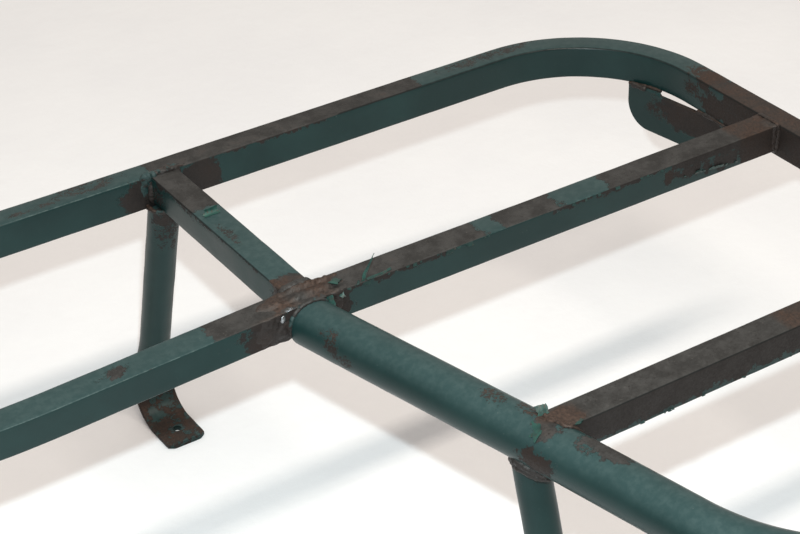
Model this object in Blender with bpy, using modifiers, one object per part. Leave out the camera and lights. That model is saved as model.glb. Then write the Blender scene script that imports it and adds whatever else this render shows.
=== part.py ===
"""Luggage rack: a welded frame of bars and tubes that stands on four splayed legs.

World frame, in metres: +X along the rack, +Y towards its straight rear rail, +Z up.
The floor is z = 0 and the rack is symmetric about x = 0.
"""

import math

import bmesh
import bpy
from mathutils import Matrix, Vector

# Driving dimensions. The bars' wall is thinner than their edge radius, so their inner corners stay round.
LENGTH = 1.200
WIDTH = 0.614
TOP_HEIGHT = 0.228
BAY_LENGTH = LENGTH / 3
RAIL_WIDTH = 0.019
RAIL_HEIGHT = 0.025
RAIL_EDGE_RADIUS = 0.0018
CORNER_RADIUS = 0.113
BAR = 0.0208
BAR_EDGE_RADIUS = 0.0012
FRONT_TUBE_DIAMETER = 0.0318
LEG_DIAMETER = 0.0222
TUBE_WALL = 0.0018
BAR_WALL = 0.0010
GAP = 0.0003

# Places across the rack.
REAR_EDGE_Y = 0.2927
CENTRE_RAIL_Y = REAR_EDGE_Y - 0.2048
SLAT_Y = CENTRE_RAIL_Y - 0.1928
FRONT_AXIS_Y = REAR_EDGE_Y - WIDTH + FRONT_TUBE_DIAMETER / 2

# The centre rail is bent down a little in the middle bay.
CENTRE_SAG = 0.0090
SAG_BEND_HALF_LENGTH = 0.030

# Plan shape of the two front tubes.
TUBE_START_X = 0.199
TUBE_SKEW = math.radians(13.5)
TUBE_SKEW_AFTER_SLAT = math.radians(12.0)
TUBE_BEND_RADIUS = 0.123
RAIL_STUB = 0.016

# Legs.
LEG_SPLAY = math.radians(16.5)
REAR_LEG_X = 0.1952
REAR_LEG_TOP_Y = REAR_EDGE_Y - 0.0244
FRONT_LEG_Y = SLAT_Y + 0.012
LEG_OVERRUN = 0.014
FOOT_WIDTH = 0.031
FOOT_THICKNESS = 0.0042
FOOT_BEND_RADIUS = 0.025
FOOT_TAPER_LENGTH = 0.045
FOOT_HOLE_DIAMETER = 0.0066
FOOT_HOLE_FROM_END = 0.0165
PAD_LENGTH = 0.026
FLAT_SECTION_SQUARENESS = 0.7

# Lugs under the rail at both ends.
LUG_FAR = Vector((0.5705, REAR_EDGE_Y - 0.0660))
LUG_NEAR = Vector((0.5855, REAR_EDGE_Y - 0.1540))
LUG_HEIGHT = 0.033
LUG_THICKNESS = 0.004
LUG_CORNER_RADIUS = 0.020
LUG_SLOT_DEPTH = 0.0016
LUG_SLOT_ENDS = (0.028, 0.066)
LUG_WELD_LENGTH = 0.014
LUG_WELD_INSET = 0.003

WELD_RADIUS = 0.0027
SEAM_CORNER_RADIUS = 0.0034
REAR_SEAM_DEPTH = 0.0114
COPE_SEAM_INSET = 0.0008
SLAT_COPE_START = 0.0045

# Cutters, and how finely curves are divided.
CUTTER_OVERLAP = 0.001
CUTTER_BLOCK = 0.030
MERGE_DISTANCE = 0.00001
CORNER_STEPS = 10
TUBE_BEND_STEPS = 12
SAG_STEPS = 3
TAPER_STEPS = 8
FOOT_BEND_STEPS = 10
LUG_CORNER_STEPS = 8
SEAM_STEPS = 20
LEG_SIDES = 16

RIGHT_CROSSBAR_X = BAY_LENGTH / 2
RAIL_INNER_X = LENGTH / 2 - RAIL_WIDTH
RAIL_CORNER_RADIUS = CORNER_RADIUS - RAIL_WIDTH / 2
REAR_RAIL_Y = REAR_EDGE_Y - RAIL_WIDTH / 2
REAR_INNER_Y = REAR_EDGE_Y - RAIL_WIDTH
RAIL_Z = TOP_HEIGHT - RAIL_HEIGHT / 2
RAIL_UNDERSIDE_Z = TOP_HEIGHT - RAIL_HEIGHT
BAR_Z = TOP_HEIGHT - BAR / 2
TUBE_RADIUS = FRONT_TUBE_DIAMETER / 2
TUBE_Z = TOP_HEIGHT - TUBE_RADIUS
LEG_RADIUS = LEG_DIAMETER / 2
STUB_END_X = LENGTH / 2 - CORNER_RADIUS - RAIL_STUB
CENTRE_FRONT_FACE_Y = CENTRE_RAIL_Y - BAR / 2
CENTRE_REAR_FACE_Y = CENTRE_RAIL_Y + BAR / 2

SIDES = (("right", 1), ("left", -1))
UP = Vector((0, 0, 1))


def clear_scene():
    for item in list(bpy.data.objects):
        bpy.data.objects.remove(item)


def new_collection(name):
    collection = bpy.data.collections.new(name)
    bpy.context.scene.collection.children.link(collection)
    return collection


def make_material(name, colour, roughness, metallic):
    material = bpy.data.materials.new(name)
    material.use_nodes = True
    shader = material.node_tree.nodes["Principled BSDF"]
    shader.inputs["Base Color"].default_value = (*colour, 1)
    shader.inputs["Roughness"].default_value = roughness
    shader.inputs["Metallic"].default_value = metallic
    return material


clear_scene()
PARTS = new_collection("luggage_rack")
CUTTERS = new_collection("cutters")
PAINT = make_material("green_paint", (0.035, 0.085, 0.078), 0.38, 0.0)
BARE_STEEL = make_material("bare_rusty_steel", (0.075, 0.062, 0.055), 0.62, 0.5)


# Sections and paths.

def rounded_rectangle(width, height, radius, steps=2):
    """Outline of a rectangle with round corners, as points in its own plane."""
    points = []
    for corner, (side_x, side_y) in enumerate(((1, 1), (-1, 1), (-1, -1), (1, -1))):
        centre = Vector((side_x * (width / 2 - radius), side_y * (height / 2 - radius)))
        for step in range(steps + 1):
            angle = math.radians(90 * corner + 90 * step / steps)
            points.append(centre + radius * Vector((math.cos(angle), math.sin(angle))))
    return points


class Section:
    """A rectangular section with round edges, or a round one when it has no height."""

    def __init__(self, width, height=None, edge_radius=0.0, sides=20):
        self.width = width
        self.height = height
        self.edge_radius = edge_radius
        self.sides = sides

    def grown(self, amount):
        height = self.height + 2 * amount if self.height else None
        return Section(self.width + 2 * amount, height, self.edge_radius + amount, self.sides)


RAIL_SECTION = Section(RAIL_WIDTH, RAIL_HEIGHT, RAIL_EDGE_RADIUS)
BAR_SECTION = Section(BAR, BAR, BAR_EDGE_RADIUS)
TUBE_SECTION = Section(FRONT_TUBE_DIAMETER, sides=20)
LEG_SECTION = Section(LEG_DIAMETER, sides=20)
BEAD_SECTION = Section(2 * WELD_RADIUS, sides=6)


def arc(centre, radius, start_degrees, end_degrees, steps, height):
    """Points of a level arc, both ends included."""
    points = []
    for step in range(steps + 1):
        angle = math.radians(start_degrees + (end_degrees - start_degrees) * step / steps)
        x = centre[0] + radius * math.cos(angle)
        y = centre[1] + radius * math.sin(angle)
        points.append(Vector((x, y, height)))
    return points


def mirrored(path, sign):
    return [Vector((sign * point.x, point.y, point.z)) for point in path]


def whole_path(right_half):
    """A symmetric path from the half that starts at x = 0."""
    return list(reversed(mirrored(right_half[1:], -1))) + right_half


def extended(path, amount):
    """The path with both ends moved outwards along their own direction."""
    first = path[0] + (path[0] - path[1]).normalized() * amount
    last = path[-1] + (path[-1] - path[-2]).normalized() * amount
    return [first] + list(path[1:-1]) + [last]


# Swept pieces.

def outline_curve(name, points):
    curve = bpy.data.curves.new(name, "CURVE")
    curve.dimensions = "2D"
    spline = curve.splines.new("POLY")
    spline.points.add(len(points) - 1)
    for point, place in zip(spline.points, points):
        point.co = (place[0], place[1], 0, 1)
    spline.use_cyclic_u = True
    return bpy.data.objects.new(name, curve)


def mesh_from_curve(curve_object, name):
    """The curve's shape as a mesh object in the same place; the curve is removed."""
    bpy.context.view_layer.update()
    depsgraph = bpy.context.evaluated_depsgraph_get()
    mesh = bpy.data.meshes.new_from_object(curve_object.evaluated_get(depsgraph))
    place = curve_object.matrix_world.copy()
    bpy.data.objects.remove(curve_object)
    shell = bmesh.new()
    shell.from_mesh(mesh)
    bmesh.ops.remove_doubles(shell, verts=shell.verts, dist=MERGE_DISTANCE)
    bmesh.ops.recalc_face_normals(shell, faces=shell.faces)
    shell.to_mesh(mesh)
    shell.free()
    piece = bpy.data.objects.new(name, mesh)
    piece.matrix_world = place
    return piece


def sweep(name, path, section, caps, closed=False):
    """A mesh object whose section follows the path."""
    curve = bpy.data.curves.new(name + "_path", "CURVE")
    curve.dimensions = "3D"
    curve.fill_mode = "FULL"
    spline = curve.splines.new("POLY")
    spline.points.add(len(path) - 1)
    for point, place in zip(spline.points, path):
        point.co = (*place, 1)
    spline.use_cyclic_u = closed
    curve.use_fill_caps = caps
    swept = bpy.data.objects.new(name + "_path", curve)
    CUTTERS.objects.link(swept)
    if not section.height:
        curve.bevel_depth = section.width / 2
        curve.bevel_resolution = section.sides // 2 - 2
        return mesh_from_curve(swept, name)
    points = rounded_rectangle(section.width, section.height, section.edge_radius)
    outline = outline_curve(name + "_outline", points)
    CUTTERS.objects.link(outline)
    curve.twist_mode = "Z_UP"
    curve.bevel_mode = "OBJECT"
    curve.bevel_object = outline
    piece = mesh_from_curve(swept, name)
    bpy.data.objects.remove(outline)
    return piece


def finish_piece(piece, material):
    """Put a piece in the rack's collection, with its material and smooth shading."""
    piece.data.materials.clear()
    piece.data.materials.append(material)
    piece.data.shade_smooth()
    piece.data.set_sharp_from_angle(angle=math.radians(35))
    PARTS.objects.link(piece)
    return piece


def make_cutter(cutter):
    cutter.hide_render = True
    cutter.display_type = "WIRE"
    CUTTERS.objects.link(cutter)
    return cutter


def cut(piece, cutter):
    boolean = piece.modifiers.new(cutter.name, "BOOLEAN")
    boolean.operation = "DIFFERENCE"
    boolean.solver = "EXACT"
    boolean.use_self = True
    boolean.object = cutter


def tube_piece(name, path, section, material=PAINT):
    """A hollow length with open ends, its wall inside the section's outline."""
    piece = sweep(name, path, section, caps=False)
    wall = piece.modifiers.new("wall", "SOLIDIFY")
    wall.thickness = BAR_WALL if section.height else TUBE_WALL
    wall.offset = -1
    wall.use_even_offset = True
    return finish_piece(piece, material)


def clearance_cutter(name, path, section):
    """The outer shape of a length, grown by the gap that touching pieces keep."""
    grown_path = extended(path, CUTTER_OVERLAP)
    return make_cutter(sweep(name + "_clearance", grown_path, section.grown(GAP), caps=True))


def weld_bead(name, path, cutters, closed=True, section=BEAD_SECTION):
    """A bead along a seam, cut back to the faces of the pieces that it joins."""
    bead = sweep(name, path, section, caps=not closed, closed=closed)
    for cutter in cutters:
        cut(bead, cutter)
    return finish_piece(bead, BARE_STEEL)


# Seams: where the outline of one piece meets the face of another.

def upright_outline(section, centre, across):
    """A seam round a level bar; across is the level direction of the bar's width."""
    points = rounded_rectangle(section.width, section.height, SEAM_CORNER_RADIUS)
    return [centre + across * point[0] + UP * point[1] for point in points]


def circle_points(centre, side, up, radius, count):
    points = []
    for step in range(count):
        angle = 2 * math.pi * step / count
        points.append(centre + radius * (math.cos(angle) * side + math.sin(angle) * up))
    return points


def meet_cylinder(point, direction, axis_point, axis, radius):
    """Where a line first meets a cylinder, coming along its direction."""
    across = direction - axis * direction.dot(axis)
    offset = point - axis_point
    offset = offset - axis * offset.dot(axis)
    half_b = offset.dot(across) / across.length_squared
    c = (offset.length_squared - radius ** 2) / across.length_squared
    return point + direction * (-half_b - math.sqrt(max(half_b ** 2 - c, 0)))


# The long members.

def outer_rail_path():
    corner_x = LENGTH / 2 - CORNER_RADIUS
    far_y = REAR_EDGE_Y - CORNER_RADIUS
    near_y = FRONT_AXIS_Y + RAIL_CORNER_RADIUS
    right_half = [Vector((0, REAR_RAIL_Y, RAIL_Z))]
    right_half += arc((corner_x, far_y), RAIL_CORNER_RADIUS, 90, 0, CORNER_STEPS, RAIL_Z)
    right_half += arc((corner_x, near_y), RAIL_CORNER_RADIUS, 0, -90, CORNER_STEPS, RAIL_Z)
    right_half.append(Vector((STUB_END_X, FRONT_AXIS_Y, RAIL_Z)))
    return whole_path(right_half)


def centre_rail_path():
    """Level over the end bays, then down to a soft bend in the middle."""
    run = RIGHT_CROSSBAR_X
    slope = CENTRE_SAG / run
    bend = SAG_BEND_HALF_LENGTH
    right_half = []
    for step in range(SAG_STEPS + 1):
        x = bend * step / SAG_STEPS
        fall = CENTRE_SAG - slope * (bend / 2 + x ** 2 / (2 * bend))
        right_half.append(Vector((x, CENTRE_RAIL_Y, BAR_Z - fall)))
    right_half.append(Vector((run, CENTRE_RAIL_Y, BAR_Z)))
    right_half.append(Vector((RAIL_INNER_X - GAP, CENTRE_RAIL_Y, BAR_Z)))
    return whole_path(right_half)


def front_tube_path(sign):
    """From the centre rail, past the slat, round a bend and along the front."""
    run_to_slat = CENTRE_FRONT_FACE_Y - SLAT_Y
    start_gap = GAP + TUBE_RADIUS * math.tan(TUBE_SKEW)
    start = Vector((TUBE_START_X, CENTRE_FRONT_FACE_Y, TUBE_Z))
    heading = Vector((math.sin(TUBE_SKEW), -math.cos(TUBE_SKEW), 0))
    at_slat = start + heading * (run_to_slat / math.cos(TUBE_SKEW))
    bend_y = FRONT_AXIS_Y + TUBE_BEND_RADIUS
    turn = TUBE_SKEW_AFTER_SLAT
    tangent_y = bend_y - TUBE_BEND_RADIUS * math.sin(turn)
    tangent_x = at_slat.x + (at_slat.y - tangent_y) * math.tan(turn)
    bend_x = tangent_x + TUBE_BEND_RADIUS * math.cos(turn)
    path = [start - heading * start_gap, at_slat]
    start_degrees = 180 + math.degrees(turn)
    path += arc((bend_x, bend_y), TUBE_BEND_RADIUS, start_degrees, 270, TUBE_BEND_STEPS, TUBE_Z)
    path.append(Vector((STUB_END_X - GAP, FRONT_AXIS_Y, TUBE_Z)))
    return mirrored(path, sign)


def leg_sections(top, outward):
    """Section places down a leg: centre, forward direction, half width, half thickness."""
    down = Vector((0, outward * math.sin(LEG_SPLAY), -math.cos(LEG_SPLAY)))
    inward = Vector((0, -outward, 0))
    turn = math.pi / 2 + LEG_SPLAY
    tangent = FOOT_BEND_RADIUS * math.tan(turn / 2)
    to_pad = (top.z - FOOT_THICKNESS / 2) / -down.z
    corner = top + down * to_pad
    bend_start = corner - down * tangent
    bend_centre = bend_start + FOOT_BEND_RADIUS * Vector((0, -outward * -down.z, -outward * down.y))
    straight = to_pad - tangent
    places = [(top, down, 0.0)]
    for step in range(TAPER_STEPS + 1):
        share = step / TAPER_STEPS
        along = straight - FOOT_TAPER_LENGTH * (1 - share)
        places.append((top + down * along, down, share * share * (3 - 2 * share)))
    for step in range(1, FOOT_BEND_STEPS + 1):
        angle = turn * step / FOOT_BEND_STEPS
        arm = bend_start - bend_centre
        side = arm * math.cos(angle) + down * (FOOT_BEND_RADIUS * math.sin(angle))
        heading = down * math.cos(angle) - arm.normalized() * math.sin(angle)
        places.append((bend_centre + side, heading, 1.0))
    places.append((places[-1][0] + inward * PAD_LENGTH, inward, 1.0))
    return places


def leg_mesh(name, top, outward):
    """A loft from a round tube to a flattened, bent foot."""
    mesh = bpy.data.meshes.new(name)
    shell = bmesh.new()
    rings = []
    for centre, heading, flatness in leg_sections(top, outward):
        half_width = LEG_RADIUS + (FOOT_WIDTH / 2 - LEG_RADIUS) * flatness
        half_depth = LEG_RADIUS + (FOOT_THICKNESS / 2 - LEG_RADIUS) * flatness
        power = 1 - FLAT_SECTION_SQUARENESS * flatness
        side = Vector((1, 0, 0))
        depth = side.cross(heading).normalized()
        ring = []
        for step in range(LEG_SIDES):
            angle = 2 * math.pi * (step + 0.5) / LEG_SIDES
            cosine = math.cos(angle)
            sine = math.sin(angle)
            across = math.copysign(abs(cosine) ** power, cosine) * half_width
            through = math.copysign(abs(sine) ** power, sine) * half_depth
            ring.append(shell.verts.new(centre + side * across + depth * through))
        rings.append(ring)
    for upper, lower in zip(rings, rings[1:]):
        for step in range(LEG_SIDES):
            after = (step + 1) % LEG_SIDES
            shell.faces.new((upper[step], upper[after], lower[after], lower[step]))
    shell.faces.new(rings[0])
    shell.faces.new(rings[-1])
    bmesh.ops.recalc_face_normals(shell, faces=shell.faces)
    shell.to_mesh(mesh)
    shell.free()
    return mesh


def cylinder_between(name, start, end, radius, sides=20):
    """A closed cylinder from one point to another."""
    return sweep(name, [start, end], Section(2 * radius, sides=sides), caps=True)


def make_leg(name, top, outward, joint_cutters):
    """A leg whose top is cut to fit what it stands under, with a hollow stem and a bolt hole."""
    down = Vector((0, outward * math.sin(LEG_SPLAY), -math.cos(LEG_SPLAY)))
    leg = bpy.data.objects.new(name, leg_mesh(name, top - down * LEG_OVERRUN, outward))
    places = leg_sections(top, outward)
    stem_end = places[1][0]
    pad_end = places[-1][0]
    above = top - down * (2 * LEG_OVERRUN)
    bore = cylinder_between(name + "_stem", above, stem_end, LEG_RADIUS - TUBE_WALL, LEG_SIDES)
    hole_y = pad_end.y + outward * FOOT_HOLE_FROM_END
    hole_bottom = Vector((top.x, hole_y, -3 * FOOT_THICKNESS))
    hole_top = Vector((top.x, hole_y, 3 * FOOT_THICKNESS))
    hole = cylinder_between(name + "_hole", hole_bottom, hole_top, FOOT_HOLE_DIAMETER / 2)
    for cutter in joint_cutters:
        cut(leg, cutter)
    cut(leg, make_cutter(bore))
    cut(leg, make_cutter(hole))
    return finish_piece(leg, PAINT)


def leg_clearance(name, top, outward):
    down = Vector((0, outward * math.sin(LEG_SPLAY), -math.cos(LEG_SPLAY)))
    path = [top - down * LEG_OVERRUN, top + down * (2 * LEG_OVERRUN)]
    return clearance_cutter(name, path, LEG_SECTION)


def lug_outline():
    """Side view of a lug: x from its rear end, y up from its lower edge."""
    length = (LUG_FAR - LUG_NEAR).length
    corner = arc((LUG_CORNER_RADIUS, LUG_CORNER_RADIUS), LUG_CORNER_RADIUS, 180, 270, LUG_CORNER_STEPS, 0)
    outline = [(point.x, point.y) for point in corner]
    outline += [(length, 0), (length, LUG_HEIGHT)]
    slot_start, slot_end = LUG_SLOT_ENDS
    outline += [(slot_end, LUG_HEIGHT), (slot_end - LUG_SLOT_DEPTH, LUG_HEIGHT - LUG_SLOT_DEPTH)]
    outline += [(slot_start + LUG_SLOT_DEPTH, LUG_HEIGHT - LUG_SLOT_DEPTH)]
    outline += [(slot_start, LUG_HEIGHT), (0, LUG_HEIGHT)]
    return outline


def make_lug(name, sign, grown_by=0.0):
    """A flat lug on edge, hanging just under the rail; grown, it is its own clearance."""
    plate = outline_curve(name, lug_outline())
    plate.data.fill_mode = "BOTH"
    plate.data.extrude = LUG_THICKNESS / 2 + grown_by
    far = Vector((sign * LUG_FAR.x, LUG_FAR.y, RAIL_UNDERSIDE_Z - GAP - LUG_HEIGHT))
    near = Vector((sign * LUG_NEAR.x, LUG_NEAR.y, far.z))
    along = (near - far).normalized()
    turn = Matrix((along, UP, along.cross(UP))).transposed()
    plate.matrix_world = Matrix.Translation(far) @ turn.to_4x4()
    CUTTERS.objects.link(plate)
    return mesh_from_curve(plate, name)


def box_cutter(name, low, high):
    mesh = bpy.data.meshes.new(name)
    shell = bmesh.new()
    size = Vector(high) - Vector(low)
    middle = (Vector(high) + Vector(low)) / 2
    place = Matrix.Translation(middle) @ Matrix.Diagonal((*size, 1))
    bmesh.ops.create_cube(shell, size=1, matrix=place)
    shell.to_mesh(mesh)
    shell.free()
    return make_cutter(bpy.data.objects.new(name, mesh))


# The rack.

ACROSS_X = Vector((1, 0, 0))
ACROSS_Y = Vector((0, 1, 0))
OUTER_PATH = outer_rail_path()
CENTRE_PATH = centre_rail_path()
OUTER_CLEARANCE = clearance_cutter("outer_rail", OUTER_PATH, RAIL_SECTION)
CENTRE_CLEARANCE = clearance_cutter("centre_rail", CENTRE_PATH, BAR_SECTION)


def make_crossbar(label, sign):
    """The bar between the rear rail and the centre rail, with its two welds."""
    x = sign * RIGHT_CROSSBAR_X
    rear_end = Vector((x, REAR_INNER_Y - GAP, BAR_Z))
    centre_end = Vector((x, CENTRE_REAR_FACE_Y + GAP, BAR_Z))
    tube_piece(f"crossbar_{label}", [rear_end, centre_end], BAR_SECTION)
    clearance = clearance_cutter(f"crossbar_{label}", [rear_end, centre_end], BAR_SECTION)
    rear_seam = upright_outline(BAR_SECTION, Vector((x, REAR_INNER_Y, BAR_Z)), ACROSS_X)
    over_the_top = rear_seam[:len(rear_seam) // 2]
    below = Vector((0, 0, REAR_SEAM_DEPTH))
    open_seam = [over_the_top[0] - below] + over_the_top + [over_the_top[-1] - below]
    weld_bead(f"weld_crossbar_rear_{label}", open_seam, (OUTER_CLEARANCE, clearance), closed=False)
    centre_seam = upright_outline(BAR_SECTION, Vector((x, CENTRE_REAR_FACE_Y, BAR_Z)), ACROSS_X)
    weld_bead(f"weld_crossbar_centre_{label}", centre_seam, (CENTRE_CLEARANCE, clearance))
    return clearance


def make_front_tube(label, sign):
    """The round tube from the centre rail to the stub of the outer rail."""
    path = front_tube_path(sign)
    tube = tube_piece(f"front_tube_{label}", path, TUBE_SECTION)
    block_middle = Vector((sign * TUBE_START_X, CENTRE_FRONT_FACE_Y - GAP, TUBE_Z))
    low = block_middle - Vector((CUTTER_BLOCK, 0, CUTTER_BLOCK))
    high = block_middle + Vector((CUTTER_BLOCK, CUTTER_BLOCK, CUTTER_BLOCK))
    cut(tube, box_cutter(f"tube_end_{label}", low, high))
    clearance = clearance_cutter(f"front_tube_{label}", path, TUBE_SECTION)
    heading = (path[1] - path[0]).normalized()
    side = heading.cross(UP)
    lower_limit = -math.asin((BAR - TUBE_RADIUS) / TUBE_RADIUS)
    seam = []
    for step in range(SEAM_STEPS + 1):
        angle = lower_limit + (math.pi - 2 * lower_limit) * step / SEAM_STEPS
        point = path[0] + TUBE_RADIUS * (math.cos(angle) * side + math.sin(angle) * UP)
        seam.append(point + heading * ((CENTRE_FRONT_FACE_Y - point.y) / heading.y))
    weld_bead(
        f"weld_tube_centre_{label}", seam, (CENTRE_CLEARANCE, clearance), closed=False
    )
    stub_middle = Vector((sign * STUB_END_X, FRONT_AXIS_Y, RAIL_Z))
    stub_seam = upright_outline(RAIL_SECTION, stub_middle, ACROSS_Y)
    weld_bead(f"weld_tube_stub_{label}", stub_seam, (OUTER_CLEARANCE, clearance))
    return path, clearance


def make_slat(label, sign, tube_path, tube_clearance):
    """The bar from the front tube to the end of the rack."""
    past_slat = (tube_path[2] - tube_path[1]).normalized()
    on_axis = tube_path[1] + past_slat * ((SLAT_Y - tube_path[1].y) / past_slat.y)
    tube_end = Vector((on_axis.x + sign * SLAT_COPE_START, SLAT_Y, BAR_Z))
    rail_end = Vector((sign * (RAIL_INNER_X - GAP), SLAT_Y, BAR_Z))
    slat = tube_piece(f"slat_{label}", [tube_end, rail_end], BAR_SECTION)
    cut(slat, tube_clearance)
    clearance = clearance_cutter(f"slat_{label}", [tube_end, rail_end], BAR_SECTION)
    towards_tube = Vector((-sign, 0, 0))
    coped_section = Section(BAR, BAR - 2 * COPE_SEAM_INSET, BAR_EDGE_RADIUS)
    outline = upright_outline(coped_section, rail_end, ACROSS_Y)
    seam = [
        meet_cylinder(point, towards_tube, on_axis, past_slat, TUBE_RADIUS) for point in outline
    ]
    weld_bead(f"weld_slat_tube_{label}", seam, (tube_clearance, clearance))
    end_seam = upright_outline(BAR_SECTION, Vector((sign * RAIL_INNER_X, SLAT_Y, BAR_Z)), ACROSS_Y)
    weld_bead(f"weld_slat_end_{label}", end_seam, (OUTER_CLEARANCE, clearance))


def make_rear_leg(label, sign, crossbar_clearance):
    """The leg under the corner of the rear rail and the crossbar."""
    top = Vector((sign * REAR_LEG_X, REAR_LEG_TOP_Y, RAIL_UNDERSIDE_Z))
    low = (top.x - CUTTER_BLOCK, top.y - CUTTER_BLOCK, TOP_HEIGHT - BAR - GAP)
    high = (top.x + CUTTER_BLOCK, top.y + CUTTER_BLOCK, TOP_HEIGHT + CUTTER_BLOCK)
    ceiling = box_cutter(f"rear_leg_ceiling_{label}", low, high)
    make_leg(f"rear_leg_{label}", top, 1, (OUTER_CLEARANCE, ceiling))
    clearance = leg_clearance(f"rear_leg_{label}", top, 1)
    down = Vector((0, math.sin(LEG_SPLAY), -math.cos(LEG_SPLAY)))
    forward = ACROSS_X.cross(down)
    step_height = RAIL_HEIGHT - BAR
    seam = []
    for point in circle_points(top, ACROSS_X, forward, LEG_RADIUS, SEAM_STEPS):
        under_bar = point - down * ((point.z - TOP_HEIGHT + BAR) / down.z)
        share = (under_bar.y - REAR_INNER_Y) / WELD_RADIUS + 1
        drop = step_height * min(max(share, 0), 1)
        seam.append(under_bar + down * (drop / -down.z))
    weld_bead(f"weld_rear_leg_{label}", seam, (OUTER_CLEARANCE, crossbar_clearance, clearance))


def make_front_leg(label, sign, tube_path, tube_clearance):
    """The leg under the front tube, cut to its curve."""
    heading = (tube_path[1] - tube_path[0]).normalized()
    on_axis = tube_path[0] + heading * ((FRONT_LEG_Y - tube_path[0].y) / heading.y)
    top = on_axis - UP * TUBE_RADIUS
    make_leg(f"front_leg_{label}", top, -1, (tube_clearance,))
    clearance = leg_clearance(f"front_leg_{label}", top, -1)
    down = Vector((0, -math.sin(LEG_SPLAY), -math.cos(LEG_SPLAY)))
    forward = ACROSS_X.cross(down)
    below = circle_points(
        top + down * (2 * LEG_OVERRUN), ACROSS_X, forward, LEG_RADIUS, SEAM_STEPS
    )
    seam = [meet_cylinder(point, -down, on_axis, heading, TUBE_RADIUS) for point in below]
    weld_bead(f"weld_front_leg_{label}", seam, (tube_clearance, clearance))


def make_end_lug(label, sign):
    """The lug under the rear corner, with a short weld near each end."""
    lug = make_lug(f"lug_{label}", sign)
    clearance = make_cutter(make_lug(f"lug_{label}_clearance", sign, grown_by=GAP))
    finish_piece(lug, PAINT)
    far = Vector((sign * LUG_FAR.x, LUG_FAR.y, RAIL_UNDERSIDE_Z))
    near = Vector((sign * LUG_NEAR.x, LUG_NEAR.y, RAIL_UNDERSIDE_Z))
    along = (near - far).normalized()
    inner_face = along.cross(UP) * (sign * LUG_THICKNESS / 2)
    length = (near - far).length
    front_start = length - LUG_WELD_LENGTH - LUG_WELD_INSET
    for place, start in (("rear", LUG_WELD_INSET), ("front", front_start)):
        first = far + inner_face + along * start
        seam = [first + along * (LUG_WELD_LENGTH * step / 3) for step in range(4)]
        weld_bead(
            f"weld_lug_{place}_{label}", seam, (OUTER_CLEARANCE, clearance), closed=False
        )


tube_piece("outer_rail", OUTER_PATH, RAIL_SECTION)
tube_piece("centre_rail", CENTRE_PATH, BAR_SECTION)

for side_label, side_sign in SIDES:
    crossbar_clearance = make_crossbar(side_label, side_sign)
    end_middle = Vector((side_sign * RAIL_INNER_X, CENTRE_RAIL_Y, BAR_Z))
    end_outline = upright_outline(BAR_SECTION, end_middle, ACROSS_Y)
    weld_bead(f"weld_centre_end_{side_label}", end_outline, (OUTER_CLEARANCE, CENTRE_CLEARANCE))
    front_path, front_clearance = make_front_tube(side_label, side_sign)
    make_slat(side_label, side_sign, front_path, front_clearance)
    make_rear_leg(side_label, side_sign, crossbar_clearance)
    make_front_leg(side_label, side_sign, front_path, front_clearance)
    make_end_lug(side_label, side_sign)
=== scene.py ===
"""The looks of a welded luggage rack: dark green satin paint that flakes off brown, rusty steel.

World frame as in the CAD, in metres: +X along the rack, +Y towards its rear rail, +Z up.
"""
import math
import random

import bmesh
import bpy
from mathutils import Matrix, Vector, noise


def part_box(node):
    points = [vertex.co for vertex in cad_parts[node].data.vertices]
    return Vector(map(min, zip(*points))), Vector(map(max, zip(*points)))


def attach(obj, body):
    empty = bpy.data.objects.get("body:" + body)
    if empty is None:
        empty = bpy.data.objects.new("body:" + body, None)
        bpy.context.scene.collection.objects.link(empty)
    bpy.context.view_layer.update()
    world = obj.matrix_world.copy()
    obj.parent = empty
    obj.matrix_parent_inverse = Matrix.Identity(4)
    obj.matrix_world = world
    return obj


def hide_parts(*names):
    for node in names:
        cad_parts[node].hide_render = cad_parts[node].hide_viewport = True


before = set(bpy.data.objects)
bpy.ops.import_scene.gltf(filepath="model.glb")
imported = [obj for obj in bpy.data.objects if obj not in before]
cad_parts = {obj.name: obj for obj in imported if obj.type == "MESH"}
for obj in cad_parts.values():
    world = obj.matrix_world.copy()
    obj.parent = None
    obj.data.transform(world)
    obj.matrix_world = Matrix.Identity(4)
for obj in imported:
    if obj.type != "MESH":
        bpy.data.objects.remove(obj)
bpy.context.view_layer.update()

UP = Vector((0, 0, 1))
ACROSS_X = Vector((1, 0, 0))
ACROSS_Y = Vector((0, 1, 0))
SIDES = (("right", 1), ("left", -1))
MM = 0.001

# Sizes and places read from the frame.
RAIL_LOW, RAIL_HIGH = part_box("outer_rail")
CENTRE_LOW, CENTRE_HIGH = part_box("centre_rail")
CROSSBAR_LOW, CROSSBAR_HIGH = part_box("crossbar_right")
SLAT_LOW, SLAT_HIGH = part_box("slat_right")
TUBE_LOW, TUBE_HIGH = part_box("front_tube_right")
REAR_LEG_LOW, REAR_LEG_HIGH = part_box("rear_leg_right")
LUG_LOW, LUG_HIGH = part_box("lug_right")
TOP = RAIL_HIGH.z
HALF_LENGTH = RAIL_HIGH.x
REAR_EDGE_Y = RAIL_HIGH.y
RAIL_HEIGHT = RAIL_HIGH.z - RAIL_LOW.z
BAR = CENTRE_HIGH.y - CENTRE_LOW.y
CENTRE_Y = (CENTRE_HIGH.y + CENTRE_LOW.y) / 2
CROSSBAR_X = (CROSSBAR_HIGH.x + CROSSBAR_LOW.x) / 2
SLAT_Y = (SLAT_HIGH.y + SLAT_LOW.y) / 2
TUBE_RADIUS = (TUBE_HIGH.z - TUBE_LOW.z) / 2
FRONT_AXIS_Y = TUBE_LOW.y + TUBE_RADIUS
REAR_LEG_X = (REAR_LEG_HIGH.x + REAR_LEG_LOW.x) / 2
LUG_HEIGHT = LUG_HIGH.z - LUG_LOW.z

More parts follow.
